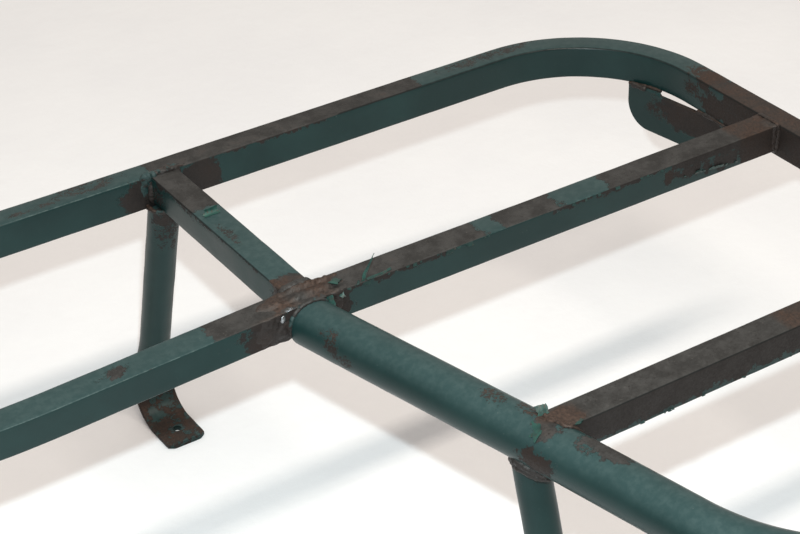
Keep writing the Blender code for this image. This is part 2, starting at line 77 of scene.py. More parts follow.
# Sizes that the boxes don't give, as the CAD has them.
RAIL_WIDTH = 0.019
RAIL_EDGE_RADIUS = 0.0018
BAR_EDGE_RADIUS = 0.0012
CORNER_RADIUS = 0.113
CENTRE_SAG = 0.009
SAG_BEND_HALF_LENGTH = 0.030
TUBE_START_X = 0.199
TUBE_SKEW = math.radians(13.5)
TUBE_SKEW_AFTER_SLAT = math.radians(12.0)
TUBE_BEND_RADIUS = 0.123
RAIL_STUB = 0.016
LEG_RADIUS = 0.0111
LEG_SPLAY = math.radians(16.5)
REAR_LEG_TOP_Y = REAR_EDGE_Y - 0.0244
FRONT_LEG_Y = SLAT_Y + 0.012
FOOT_WIDTH = 0.031
FOOT_THICKNESS = 0.0042
FOOT_BEND_RADIUS = 0.025
FOOT_TAPER_LENGTH = 0.045
FOOT_HOLE_RADIUS = 0.0033
FOOT_HOLE_FROM_END = 0.0165
PAD_LENGTH = 0.026
FLAT_SECTION_SQUARENESS = 0.7
LUG_FAR = Vector((0.5705, REAR_EDGE_Y - 0.0660))
LUG_NEAR = Vector((0.5855, REAR_EDGE_Y - 0.1540))
LUG_THICKNESS = 0.004
LUG_CORNER_RADIUS = 0.020
LUG_SLOT_DEPTH = 0.0016
LUG_SLOT_ENDS = (0.028, 0.066)
LUG_WELD_LENGTH = 0.014
LUG_WELD_INSET = 0.003
GAP = 0.0003
BEAD_RADIUS = 0.0027

# Places worked out from those sizes.
RAIL_Z = TOP - RAIL_HEIGHT / 2
BAR_Z = TOP - BAR / 2
TUBE_Z = TOP - TUBE_RADIUS
REAR_RAIL_Y = REAR_EDGE_Y - RAIL_WIDTH / 2
REAR_INNER_Y = REAR_EDGE_Y - RAIL_WIDTH
RAIL_INNER_X = HALF_LENGTH - RAIL_WIDTH
RAIL_CORNER_RADIUS = CORNER_RADIUS - RAIL_WIDTH / 2
STUB_END_X = HALF_LENGTH - CORNER_RADIUS - RAIL_STUB
CROSSBAR_LEFT_X = CROSSBAR_X - BAR / 2
FRONT_FACE_Y = CENTRE_Y - BAR / 2
REAR_FACE_Y = CENTRE_Y + BAR / 2
SLAT_NEAR_Y = SLAT_Y - BAR / 2

# How finely the surfaces are made.
STATION = 0.003
FLAT_STEP = 0.004
CORNER_STEPS = 4
TUBE_SIDES = 64
LEG_SIDES = 48
LUG_LONGEST_EDGE = 0.006
BEAD_SIDES = 20
BEAD_STEP = 0.0007
CRUST_PITCH = 0.0009
FLAKE_COLUMNS = 16
FLAKE_ROWS = 8
SHARP_ANGLE = math.radians(40)

# Small details of the surfaces.
LEG_DENT = 0.0002
PAD_ROUNDING = 0.004
SEAT_OVERLAP = 0.001
COPE_RUN_UP = 0.03
SLAT_CLEARANCE = 0.002
SLAT_SEAM_INSET = 0.0016
LEG_SEAM_START = 0.05
SECOND_PASS_DROP = 0.0040
BEAD_RIPPLE = 0.0031
CRUST_SINK = 0.0012
SKIN_TURN = 0.0015
FLAKE_THICKNESS = 0.00028
FLAKE_LIFT = 0.0001
LUG_LIP_OPENS_AT = 12.5  # degrees round the rail's corner
LUG_LIP_FRONT_Y = (0.162, 0.122)

# Wear. Depths inside a patch are in millimetres, and BARE_UNIT of them make 1 in the attribute bare.
BARE_UNIT = 10
LEAST_BARE = -1.8
NO_PATCH = -20.0
MOTTLED_DEPTH = 0.9
RUST_STARTS = -5.0
RUST_FADE = 8.0
# Where along the outer rail the painted shade line on its rounded edges begins.
SHADED_EDGE_RAIL_X = 0.34

# Normals: the least vertical part on a level face, and the larger part half way round a rounded edge.
LEVEL_NORMAL = 0.7
EDGE_NORMAL = 0.7071


# Materials.

class Graph:
    """Short calls for building one material's node tree."""

    def __init__(self, name, specular=0.5):
        self.material = bpy.data.materials.new(name)
        self.material.use_nodes = True
        self.tree = self.material.node_tree
        self.shader = self.tree.nodes["Principled BSDF"]
        self.shader.inputs["Specular IOR Level"].default_value = specular
        self.place = self.node("TexCoord").outputs["Object"]

    def plug(self, socket, value):
        if isinstance(value, bpy.types.NodeSocket):
            self.tree.links.new(value, socket)
        else:
            socket.default_value = value

    def node(self, kind, **inputs):
        """A new node with the inputs given; a _ in an input's name stands for a space."""
        node = self.tree.nodes.new("ShaderNode" + kind)
        for name, value in inputs.items():
            self.plug(node.inputs[name.replace("_", " ")], value)
        return node

    def noise(self, scale, detail=4.0, roughness=0.55, stretch=None):
        place = self.place
        if stretch:
            place = self.node("Mapping", Vector=place, Scale=stretch).outputs["Vector"]
        node = self.node("TexNoise", Vector=place, Scale=scale, Detail=detail, Roughness=roughness)
        return node.outputs["Fac"]

    def swing(self, *settings):
        """A noise that swings about 0."""
        return self.less(self.noise(*settings), 0.5)

    def cells(self, scale):
        return self.node("TexVoronoi", Vector=self.place, Scale=scale).outputs["Distance"]

    def attribute(self, name):
        node = self.node("Attribute")
        node.attribute_name = name
        return node.outputs["Fac"]

    def upward(self):
        """1 on faces that look up, falling to 0 on upright ones."""
        normal = self.node("NewGeometry").outputs["Normal"]
        return self.step(self.node("SeparateXYZ", Vector=normal).outputs["Z"], 0.22, 0.94)

    def math(self, operation, first, second):
        node = self.node("Math")
        node.operation = operation
        self.plug(node.inputs[0], first)
        self.plug(node.inputs[1], second)
        return node.outputs[0]

    def times(self, first, second):
        return self.math("MULTIPLY", first, second)

    def plus(self, first, second):
        return self.math("ADD", first, second)

    def less(self, first, second):
        return self.math("SUBTRACT", first, second)

    def step(self, value, low, high, to_low=0.0, to_high=1.0):
        """The value mapped smoothly from one range to another, and held at its ends."""
        node = self.node("MapRange", Value=value, From_Min=low, From_Max=high, To_Min=to_low, To_Max=to_high)
        node.interpolation_type = "SMOOTHSTEP"
        return node.outputs["Result"]

    def mix(self, share, first, second):
        """Two colours mixed; a colour is a socket, or red, green and blue."""
        node = self.node("Mix")
        node.data_type = "RGBA"
        self.plug(node.inputs["Factor"], share)
        for socket, colour in ((node.inputs[6], first), (node.inputs[7], second)):
            self.plug(socket, (*colour, 1) if isinstance(colour, tuple) else colour)
        return node.outputs[2]

    def bump(self, height, distance, strength=1.0, normal=None):
        node = self.node("Bump", Height=height, Distance=distance, Strength=strength)
        if normal is not None:
            self.plug(node.inputs["Normal"], normal)
        return node.outputs["Normal"]

    def finish(self, colour, roughness, normal, metallic=0.0):
        self.plug(self.shader.inputs["Base Color"], colour)
        self.plug(self.shader.inputs["Roughness"], roughness)
        self.plug(self.shader.inputs["Normal"], normal)
        self.plug(self.shader.inputs["Metallic"], metallic)
        return self.material


def rusty_colour(graph, upward):
    """Brown-grey bare steel: redder where rust is 1, and near black on upright faces as painted shade.

    Returns the colour and the two noises behind it, grains and blotches.
    """
    blotches = graph.noise(70, 6, 0.65)
    grains = graph.noise(620, 5, 0.7)
    steel = graph.mix(graph.step(blotches, 0.36, 0.66), (0.036, 0.034, 0.032), (0.064, 0.061, 0.058))
    steel = graph.mix(graph.step(grains, 0.56, 0.74), steel, (0.092, 0.084, 0.077))
    steel = graph.mix(graph.step(grains, 0.46, 0.30), steel, (0.021, 0.018, 0.016))
    brown = graph.mix(graph.step(grains, 0.30, 0.74), (0.034, 0.023, 0.018), (0.086, 0.052, 0.038))
    spread = graph.plus(graph.attribute("rust"), graph.times(graph.less(blotches, 0.5), 1.3))
    colour = graph.mix(graph.step(spread, 0.30, 1.0), steel, brown)
    # Painted shade: upright faces are darkened towards near black, for the light that falls less on them.
    shaded = graph.step(upward, 1.0, 0.0, 0.0, 0.80)
    return graph.mix(shaded, colour, (0.0130, 0.0095, 0.0085)), grains, blotches


def paint_colour(graph, upward):
    """Dark blue-green satin paint, dusty and lighter on the faces that look up: partly faded, partly a
    painted sheen.

    Returns the colour and the two noises behind it, broad and fine.
    """
    broad = graph.noise(16, 5, 0.6)
    fine = graph.noise(230, 4, 0.6)
    fresh = graph.mix(graph.step(broad, 0.34, 0.70), (0.0042, 0.0185, 0.0180), (0.0075, 0.0270, 0.0260))
    # The faces that look up get a lighter colour: partly faded paint, partly a painted sheen.
    faded_with_sheen = graph.mix(graph.step(fine, 0.34, 0.74), (0.027, 0.056, 0.056), (0.043, 0.075, 0.074))
    paint = graph.mix(graph.times(upward, graph.step(broad, 0.3, 0.7, 0.72, 0.95)), fresh, faded_with_sheen)
    dust = graph.step(graph.cells(240), 0.12, 0.05, 0.0, 0.35)
    dust = graph.times(dust, graph.step(graph.noise(90, 2), 0.60, 0.70))
    return graph.mix(dust, paint, (0.13, 0.15, 0.14)), broad, fine


def paint_left(graph):
    """How far a point is inside bare steel: the drawn patches, ragged borders, chips and scuffs."""
    ragged = graph.times(graph.swing(150, 8, 0.74), 1.8)
    nibbled = graph.times(graph.swing(520, 4, 0.65), 0.40)
    wandering = graph.times(graph.swing(52, 3, 0.6), 1.5)
    level = graph.plus(graph.attribute("bare"), graph.plus(wandering, graph.plus(ragged, nibbled)))
    edge_noise = graph.step(graph.noise(64, 5, 0.65, stretch=(1.0, 1.0, 2.0)), 0.58, 0.68)
    worn_edge = graph.times(graph.step(graph.attribute("edge"), 0.35, 1.0), edge_noise)
    level = graph.math("MAXIMUM", level, graph.less(graph.times(worn_edge, 0.8), 0.4))
    limit = graph.step(graph.attribute("scuff"), 0.0, 1.0, 0.80, 0.50)
    clusters = graph.times(graph.swing(130, 4, 0.6), 0.7)
    speckle = graph.less(graph.plus(graph.noise(640, 5, 0.7), clusters), limit)
    return graph.math("MAXIMUM", level, graph.times(speckle, 2.0))


def make_painted_steel():
    """Paint over rusty steel. The attribute bare says how far a point lies inside a bare patch."""
    graph = Graph("flaking_green_paint", specular=0.24)
    upward = graph.upward()
    level = paint_left(graph)
    gone = graph.step(level, -0.015, 0.015)
    lifted_rim_and_highlight = graph.times(graph.step(level, -0.07, -0.02), graph.step(level, 0.02, -0.005))
    lifted_rim_and_highlight = graph.times(lifted_rim_and_highlight, graph.step(graph.noise(60, 3), 0.45, 0.62))
    shade = graph.times(graph.step(level, -0.01, 0.02), graph.step(level, 0.09, 0.02))
    paint, broad, fine = paint_colour(graph, upward)
    steel, grains = rusty_colour(graph, upward)[:2]
    # Painted highlight: lighter paint along the rounded edges, for the light that they catch.
    painted_edge_highlight = graph.times(graph.step(graph.attribute("edge"), 0.5, 1.0), graph.step(fine, 0.42, 0.60))
    paint = graph.mix(graph.times(painted_edge_highlight, 0.45), paint, (0.100, 0.140, 0.132))
    # Painted highlight: the lifted rim of paint round each bare patch is lighter, for the light its raised
    # edge catches; the rim's rise is also bumped below.
    paint = graph.mix(graph.times(lifted_rim_and_highlight, 0.30), paint, (0.045, 0.105, 0.095))
    steel = graph.mix(graph.times(shade, 0.6), steel, (0.010, 0.009, 0.009))
    # Painted shade: a dark line along the rounded edges of the slats, the crossbars and the outer rail's far
    # stretch.
    painted_edge_shade = graph.times(graph.step(graph.attribute("shaded_edge"), 0.10, 0.60), 0.80)
    colour = graph.mix(painted_edge_shade, graph.mix(gone, paint, steel), (0.0045, 0.0060, 0.0060))
    paint_roughness = graph.times(graph.step(broad, 0.3, 0.7, 0.30, 0.44), graph.less(1.0, gone))
    steel_roughness = graph.times(graph.step(grains, 0.3, 0.7, 0.50, 0.78), gone)
    film = graph.bump(graph.less(graph.times(lifted_rim_and_highlight, 0.6), gone), 0.00045)
    pits = graph.bump(graph.times(grains, gone), 0.00035, 0.9, film)
    waves = graph.bump(fine, 0.00010, 0.5, pits)
    return graph.finish(colour, graph.plus(paint_roughness, steel_roughness), waves, graph.times(gone, 0.30))


def make_weld_steel():
    """Rusty weld metal, with paint left on it where the attribute bare is low."""
    graph = Graph("rusty_weld", specular=0.40)
    upward = graph.upward()
    steel, grains, blotches = rusty_colour(graph, upward)
    paint = paint_colour(graph, upward)[0]
    left = graph.plus(graph.attribute("bare"), graph.swing(130, 6, 0.65))
    gone = graph.step(left, -0.03, 0.03)
    film = graph.bump(gone, 0.0003)
    normal = graph.bump(graph.plus(grains, blotches), 0.0004, 0.9, film)
    roughness = graph.step(grains, 0.3, 0.7, 0.40, 0.72)
    return graph.finish(graph.mix(gone, paint, steel), roughness, normal, graph.times(gone, 0.35))


def make_flake_paint(name, dark, light):
    """The cleaner green of paint that has torn off the steel."""
    graph = Graph(name, specular=0.4)
    tone = graph.noise(150, 4, 0.6)
    colour = graph.mix(graph.step(tone, 0.35, 0.7), dark, light)
    colour = graph.mix(graph.step(graph.noise(500, 3), 0.58, 0.70), colour, (0.040, 0.034, 0.026))
    return graph.finish(colour, graph.step(tone, 0.3, 0.7, 0.32, 0.5), graph.bump(tone, 0.0004))


def make_scraped_steel():
    """Bright bare metal, where a tool has struck the weld."""
    graph = Graph("scraped_steel")
    grains = graph.noise(900, 4, 0.6)
    colour = graph.mix(graph.step(grains, 0.35, 0.65), (0.10, 0.10, 0.095), (0.34, 0.36, 0.38))
    return graph.finish(colour, graph.step(grains, 0.3, 0.7, 0.22, 0.42), graph.bump(grains, 0.0003), 0.85)


def make_floor_material():
    graph = Graph("pale_floor", specular=0.12)
    tone = graph.noise(5, 5, 0.6)
    colour = graph.mix(graph.step(tone, 0.3, 0.7), (0.90, 0.90, 0.915), (0.94, 0.94, 0.95))
    return graph.finish(colour, 0.8, graph.bump(graph.noise(60, 5, 0.6), 0.0006))


PAINTED = make_painted_steel()
WELD = make_weld_steel()
CURLED = make_flake_paint("curled_green_flakes", (0.009, 0.036, 0.031), (0.020, 0.074, 0.058))
TORN_EDGE = make_flake_paint("torn_green_edges", (0.005, 0.021, 0.019), (0.010, 0.038, 0.033))
SCRAPED = make_scraped_steel()


# Wear: patches where the paint is gone.

class Strip:
    """A bare stretch of some of a member's faces, in world ranges; an open range is None."""

    def __init__(self, faces, x=None, y=None, z=None, rust=0.1):
        self.faces = faces.split()
        self.ranges = (x, y, z)
        self.rust = rust

    def depth(self, place, face):
        if face not in self.faces:
            return NO_PATCH
        inside = [
            min(place[axis] - span[0], span[1] - place[axis])
            for axis, span in enumerate(self.ranges)
            if span
        ]
        return min(inside) / MM


class Spot:
    """A bare ellipsoid round a point of the surface."""

    def __init__(self, centre, radii, rust=0.1):
        self.centre = centre
        self.radii = radii
        self.rust = rust

    def nearness(self, place):
        """1 at the centre, 0 on the ellipsoid and negative outside it."""
        return 1 - math.sqrt(sum(((place[i] - self.centre[i]) / self.radii[i]) ** 2 for i in range(3)))

    def depth(self, place, face):
        return self.nearness(place) * min(self.radii) / MM


class Scuff(Spot):
    """An ellipsoid where the paint is only speckled with rust."""

    def depth(self, place, face):
        return NO_PATCH


class Mottled(Spot):
    """An ellipsoid where bare steel and paint are mixed all over."""

    def depth(self, place, face):
        return min(super().depth(place, face), MOTTLED_DEPTH)


def mirrored_patches(patches):
    """The same patches on the other half of the rack."""
    swap = {"left": "right", "right": "left"}
    result = []
    for patch in patches:
        if isinstance(patch, Spot):
            centre = (-patch.centre[0], patch.centre[1], patch.centre[2])
            result.append(type(patch)(centre, patch.radii, patch.rust))
            continue
        span = patch.ranges[0]
        x = (-span[1], -span[0]) if span else None
        faces = " ".join(swap.get(face, face) for face in patch.faces)
        result.append(Strip(faces, x, patch.ranges[1], patch.ranges[2], patch.rust))
    return result


def face_of(normal):
    """Which way a surface looks: top, under, near, far, left or right."""
    if abs(normal.z) > LEVEL_NORMAL:
        return "top" if normal.z > 0 else "under"
    if abs(normal.y) >= abs(normal.x):
        return "far" if normal.y > 0 else "near"
    return "right" if normal.x > 0 else "left"


class Wear:
    """The wear attributes of a member's points, gathered one point at a time."""

    def __init__(self, patches):
        self.patches = patches
        self.values = {"bare": [], "rust": [], "scuff": [], "edge": [], "shaded_edge": []}

    def add(self, place, normal, edge=0.0, shaded_edge=0.0):
        """One more point. bare runs from LEAST_BARE, outside all patches, to 1, deep inside one."""
        face = face_of(normal)
        deepest, rust, scuff = NO_PATCH, 0.0, 0.0
        for patch in self.patches:
            depth = patch.depth(place, face)
            deepest = max(deepest, depth)
            rust = max(rust, patch.rust * min(max((depth - RUST_STARTS) / RUST_FADE, 0), 1))
            if isinstance(patch, Scuff):
                share = patch.nearness(place)
                scuff = max(scuff, min(1.6 * share, 1.0))
                rust = max(rust, patch.rust * min(max(2 * share, 0), 1))
        self.values["bare"].append(max(min(deepest / BARE_UNIT, 1.0), LEAST_BARE))
        self.values["rust"].append(rust)
        self.values["scuff"].append(scuff)
        self.values["edge"].append(edge)
        self.values["shaded_edge"].append(shaded_edge)


# Mesh helpers.

def finish_mesh(name, verts, faces, material, attributes=None, nodes=()):
    """A smooth-shaded piece on the root body that stands for its CAD nodes."""
    mesh = bpy.data.meshes.new(name)
    mesh.from_pydata([tuple(vert) for vert in verts], [], faces)
    shell = bmesh.new()
    shell.from_mesh(mesh)
    bmesh.ops.recalc_face_normals(shell, faces=shell.faces)
    shell.to_mesh(mesh)
    shell.free()
    for label, values in (attributes or {}).items():
        mesh.attributes.new(label, "FLOAT", "POINT").data.foreach_set("value", values)
    mesh.materials.append(material)
    mesh.shade_smooth()
    mesh.set_sharp_from_angle(angle=SHARP_ANGLE)
    piece = bpy.data.objects.new(name, mesh)
    bpy.context.scene.collection.objects.link(piece)
    if nodes:
        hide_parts(*nodes)
    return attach(piece, "root")


def resampled(path, spacing=STATION):
    """Points a fixed distance apart along the path, both ends included."""
    lengths = [0.0]
    for before, after in zip(path, path[1:]):
        lengths.append(lengths[-1] + (after - before).length)
    count = max(int(round(lengths[-1] / spacing)), 2)
    points, segment = [], 0
    for step in range(count + 1):
        target = lengths[-1] * step / count
        while segment < len(path) - 2 and lengths[segment + 1] < target:
            segment += 1
        share = (target - lengths[segment]) / max(lengths[segment + 1] - lengths[segment], 1e-9)
        points.append(path[segment].lerp(path[segment + 1], min(max(share, 0), 1)))
    return points


def tangents(path, closed=False):
    """The path's direction at each of its points."""
    before = [path[-1] if closed else path[0]] + path[:-1]
    after = path[1:] + [path[0] if closed else path[-1]]
    return [(ahead - behind).normalized() for behind, ahead in zip(before, after)]


def rectangle_outline(width, height, radius):
    """Dense outline of a rounded rectangle: (across, up, normal across, normal up)."""
    points = []
    for corner, (side_x, side_y) in enumerate(((1, 1), (-1, 1), (-1, -1), (1, -1))):
        centre = (side_x * (width / 2 - radius), side_y * (height / 2 - radius))
        for step in range(CORNER_STEPS + 1):
            angle = math.radians(90 * corner + 90 * step / CORNER_STEPS)
            normal = (math.cos(angle), math.sin(angle))
            points.append((centre[0] + radius * normal[0], centre[1] + radius * normal[1], *normal))
        run = (height, width)[(corner + 1) % 2] - 2 * radius
        pieces = max(int(run / FLAT_STEP), 1)
        start = points[-1]
        heading = (-normal[1], normal[0])
        for step in range(1, pieces):
            reach = run * step / pieces
            points.append((start[0] + heading[0] * reach, start[1] + heading[1] * reach, *normal))
    return points


def round_angles(count):
    """Angles once round a circle, in radians."""
    return [2 * math.pi * step / count for step in range(count)]


def circle_outline(radius):
    """The same kind of outline for a round tube."""
    normals = [(math.cos(angle), math.sin(angle)) for angle in round_angles(TUBE_SIDES)]
    return [(radius * normal[0], radius * normal[1], *normal) for normal in normals]


def bridge(rings, sides, closed=False):
    """Faces that join rings of points into a tube, capped unless it closes on itself."""
    faces = []
    count = rings if closed else rings - 1
    for ring in range(count):
        here, there = ring * sides, ((ring + 1) % rings) * sides
        for step in range(sides):
            after = (step + 1) % sides
            faces.append((here + step, here + after, there + after, there + step))
    if not closed:
        faces.append(tuple(reversed(range(sides))))
        faces.append(tuple(range((rings - 1) * sides, rings * sides)))
    return faces


def dent(place, amount=0.00012):
    """Small long-wave unevenness of a worked member."""
    return amount * noise.noise(place * 38.0) + 0.5 * amount * noise.noise(place * 110.0)


def member(name, path, outline, patches, nodes, end_shapes=(None, None), dark_from=None):
    """A painted member: an outline swept along a level path, with its wear as attributes.

    Its rounded edges get a dark line of painted shade from dark_from outwards along the rack, if that is
    given.
    """
    path = resampled(path)
    wear = Wear(patches)
    verts = []
    is_round = len(outline) == TUBE_SIDES
    for index, (centre, heading) in enumerate(zip(path, tangents(path))):
        across = heading.cross(UP).normalized()
        upward = across.cross(heading).normalized()
        shape = {0: end_shapes[0], len(path) - 1: end_shapes[1]}.get(index)
        for point in outline:
            normal = across * point[2] + upward * point[3]
            place = centre + across * point[0] + upward * point[1]
            place = place + normal * dent(place)
            if shape:
                place = shape(place, heading)
            verts.append(place)
            squareness = (max(abs(point[2]), abs(point[3])) - EDGE_NORMAL) / (1 - EDGE_NORMAL)
            edge = 0.0 if is_round else 1 - squareness
            edge_in_shade = dark_from is not None and abs(place.x) >= dark_from
            wear.add(place, normal, edge, edge if edge_in_shade else 0.0)
    faces = bridge(len(path), len(outline))
    return finish_mesh(name, verts, faces, PAINTED, wear.values, nodes)


# Paths, as in the CAD.

def arc(centre, radius, start_degrees, end_degrees, height, steps=48):
    """A level arc, anticlockwise when its end is the larger angle."""
    points = []
    for step in range(steps + 1):
        angle = math.radians(start_degrees + (end_degrees - start_degrees) * step / steps)
        x, y = centre[0] + radius * math.cos(angle), centre[1] + radius * math.sin(angle)
        points.append(Vector((x, y, height)))
    return points


def mirrored(path, sign):
    return [Vector((sign * point.x, point.y, point.z)) for point in path]


def whole_path(right_half):
    return list(reversed(mirrored(right_half[1:], -1))) + right_half


def outer_rail_path():
    corner_x = HALF_LENGTH - CORNER_RADIUS
    near_y = FRONT_AXIS_Y + RAIL_CORNER_RADIUS
    right_half = [Vector((0, REAR_RAIL_Y, RAIL_Z))]
    right_half += arc((corner_x, REAR_EDGE_Y - CORNER_RADIUS), RAIL_CORNER_RADIUS, 90, 0, RAIL_Z)
    right_half += arc((corner_x, near_y), RAIL_CORNER_RADIUS, 0, -90, RAIL_Z)
    right_half.append(Vector((STUB_END_X, FRONT_AXIS_Y, RAIL_Z)))
    return whole_path(right_half)


def centre_rail_path():
    """Straight outside the crossbars, and sagging to a rounded bend in the middle."""
    slope = CENTRE_SAG / CROSSBAR_X
    bend = SAG_BEND_HALF_LENGTH
    right_half = []
    for step in range(9):
        x = bend * step / 8
        fall = CENTRE_SAG - slope * (bend / 2 + x ** 2 / (2 * bend))
        right_half.append(Vector((x, CENTRE_Y, BAR_Z - fall)))
    right_half.append(Vector((CROSSBAR_X, CENTRE_Y, BAR_Z)))
    right_half.append(Vector((RAIL_INNER_X - GAP, CENTRE_Y, BAR_Z)))
    return whole_path(right_half)


def front_tube_path(sign):
    """From the centre rail, slightly askew, past the slat and round to the outer rail's stub."""
    start = Vector((TUBE_START_X, FRONT_FACE_Y, TUBE_Z))
    heading = Vector((math.sin(TUBE_SKEW), -math.cos(TUBE_SKEW), 0))
    at_slat = start + heading * ((FRONT_FACE_Y - SLAT_Y) / math.cos(TUBE_SKEW))
    bend_y = FRONT_AXIS_Y + TUBE_BEND_RADIUS
    turn = TUBE_SKEW_AFTER_SLAT
    tangent_y = bend_y - TUBE_BEND_RADIUS * math.sin(turn)
    tangent_x = at_slat.x + (at_slat.y - tangent_y) * math.tan(turn)
    bend_x = tangent_x + TUBE_BEND_RADIUS * math.cos(turn)
    path = [start, at_slat]
    path += arc((bend_x, bend_y), TUBE_BEND_RADIUS, 180 + math.degrees(turn), 270, TUBE_Z)
    path.append(Vector((STUB_END_X - GAP, FRONT_AXIS_Y, TUBE_Z)))
    return mirrored(path, sign)


def to_plane_y(y):
    """Moves an end point along the member until it lies in the plane at y."""
    return lambda place, heading: place + heading * ((y - place.y) / heading.y)


def meet_cylinder(point, direction, axis_point, axis, radius):
    """Where a line first meets a cylinder, coming along its direction."""
    across = direction - axis * direction.dot(axis)
    offset = point - axis_point
    offset = offset - axis * offset.dot(axis)
    half_b = offset.dot(across) / across.length_squared
    c = (offset.length_squared - radius ** 2) / across.length_squared
    return point + direction * (-half_b - math.sqrt(max(half_b ** 2 - c, 0)))


# Bare places, listed where the paint has flaked off. x, y and z in metres.

RAIL_WEAR = [
    Strip("top", x=(0.192, 0.414), y=(0.262, 0.300), rust=0.30),
    Strip("near", x=(0.222, 0.330), z=(0.2265, 0.240), rust=0.9),
    Spot((0.181, 0.2737, 0.213), (0.014, 0.02, 0.014), rust=0.5),
    Spot((0.229, 0.2737, 0.214), (0.016, 0.02, 0.014), rust=0.5),
    Scuff((0.150, 0.286, 0.228), (0.040, 0.012, 0.01), rust=0.4),
    Scuff((0.105, 0.280, 0.228), (0.035, 0.006, 0.01), rust=0.3),
    Scuff((0.480, 0.285, 0.228), (0.070, 0.012, 0.01), rust=0.4),
    Strip("top", x=(0.560, 0.620), y=(-0.21, 0.150), rust=0.7),
    Strip("left", x=(0.55, 0.62), y=(-0.16, 0.136), rust=0.8),
    Spot((0.5810, 0.145, 0.212), (0.010, 0.014, 0.010), rust=0.9),
    Spot((0.5900, 0.158, 0.228), (0.012, 0.012, 0.008), rust=0.9),
    Scuff((0.5800, 0.165, 0.218), (0.012, 0.022, 0.012), rust=0.9),
    Scuff((0.5900, 0.170, 0.228), (0.014, 0.026, 0.008), rust=0.8),
    Spot((0.300, 0.2927, 0.216), (0.05, 0.01, 0.006), rust=0.5),
    Spot((0.100, 0.2927, 0.220), (0.03, 0.01, 0.006), rust=0.5),
    Scuff((0.593, 0.050, 0.214), (0.02, 0.12, 0.02), rust=0.8),
]
CENTRE_WEAR = [
    Spot((0.067, 0.087, 0.228), (0.011, 0.0055, 0.010), rust=0.35),
    Strip("top", x=(0.132, 0.332), rust=0.22),
    Strip("top", x=(0.346, 0.392), rust=0.08),
    Strip("top", x=(0.432, 0.560), rust=0.15),
    Strip("top", x=(0.545, 0.590), rust=0.75),
    Spot((0.168, 0.0775, 0.213), (0.016, 0.006, 0.016), rust=0.75),
    Spot((0.186, 0.0775, 0.222), (0.010, 0.006, 0.010), rust=0.5),
    Spot((0.2175, 0.0775, 0.216), (0.0085, 0.005, 0.015), rust=0.8),
    Strip("near", x=(0.205, 0.300), z=(0.2252, 0.240), rust=0.1),
    Strip("near", x=(0.385, 0.480), z=(0.2262, 0.240), rust=0.1),
    Spot((0.483, 0.0775, 0.219), (0.0045, 0.004, 0.006), rust=0.9),
    Strip("near", x=(0.488, 0.600), z=(0.2216, 0.240), rust=0.1),
    Spot((0.502, 0.0775, 0.2185), (0.010, 0.004, 0.0044), rust=0.0),
    Spot((0.520, 0.0775, 0.2165), (0.010, 0.004, 0.0048), rust=0.0),
    Spot((0.536, 0.0775, 0.2145), (0.009, 0.004, 0.0044), rust=0.0),
    Strip("near", x=(0.546, 0.600), z=(0.200, 0.240), rust=0.8),
    Scuff((0.350, 0.0983, 0.218), (0.12, 0.004, 0.010), rust=0.3),
]
CROSSBAR_WEAR = [
    Strip("top", y=(0.214, 0.280), rust=0.15),
    Strip("right", y=(0.238, 0.280), rust=0.5),
    # Painted shade: a thin bare strip that draws the dark line along the crossbar's top-left edge.
    Strip("left", y=(0.120, 0.262), z=(0.2263, 0.240), rust=0.0),
    Scuff((0.1896, 0.262, 0.216), (0.004, 0.020, 0.012), rust=0.5),
    Spot((0.199, 0.102, 0.228), (0.013, 0.010, 0.010), rust=0.7),
    Spot((0.1896, 0.104, 0.215), (0.004, 0.006, 0.012), rust=0.6),
    Scuff((0.1965, 0.178, 0.228), (0.006, 0.030, 0.006), rust=0.6),
]
TUBE_WEAR = [
    Scuff((0.1935, 0.047, 0.2185), (0.010, 0.015, 0.012), rust=0.6),
    Scuff((0.1925, 0.034, 0.2120), (0.009, 0.017, 0.010), rust=0.6),
    Scuff((0.234, -0.066, 0.227), (0.010, 0.016, 0.008), rust=0.7),
    Scuff((0.243, -0.088, 0.227), (0.010, 0.014, 0.008), rust=0.7),
    Spot((0.2490, -0.1010, 0.2270), (0.0090, 0.0070, 0.007), rust=1.0),
    Spot((0.2395, -0.1075, 0.2268), (0.0085, 0.0080, 0.006), rust=0.5),
    Spot((0.2560, -0.1410, 0.2265), (0.010, 0.015, 0.009), rust=0.2),
    Spot((0.2283, -0.1125, 0.2120), (0.0070, 0.0140, 0.0075), rust=1.0),
    Scuff((0.2400, -0.1300, 0.2020), (0.010, 0.020, 0.010), rust=0.6),
    Scuff((0.2660, -0.1750, 0.2200), (0.012, 0.020, 0.010), rust=0.5),
    Scuff((0.2810, -0.2230, 0.2100), (0.014, 0.030, 0.012), rust=0.6),
    Scuff((0.4200, -0.3080, 0.2260), (0.050, 0.012, 0.010), rust=0.5),
]
SLAT_WEAR = [
    Spot((0.2530, -0.1060, 0.2280), (0.0140, 0.0110, 0.0080), rust=1.0),
    Strip("top", x=(0.22, 0.60), rust=0.20),
    Strip("top", x=(0.415, 0.60), rust=0.75),
    Strip("near", x=(0.22, 0.60), z=(0.2100, 0.240), rust=0.0),
    Strip("far", x=(0.22, 0.34), z=(0.2180, 0.240), rust=0.2),
    Strip("far", x=(0.45, 0.60), z=(0.2140, 0.240), rust=0.4),
]
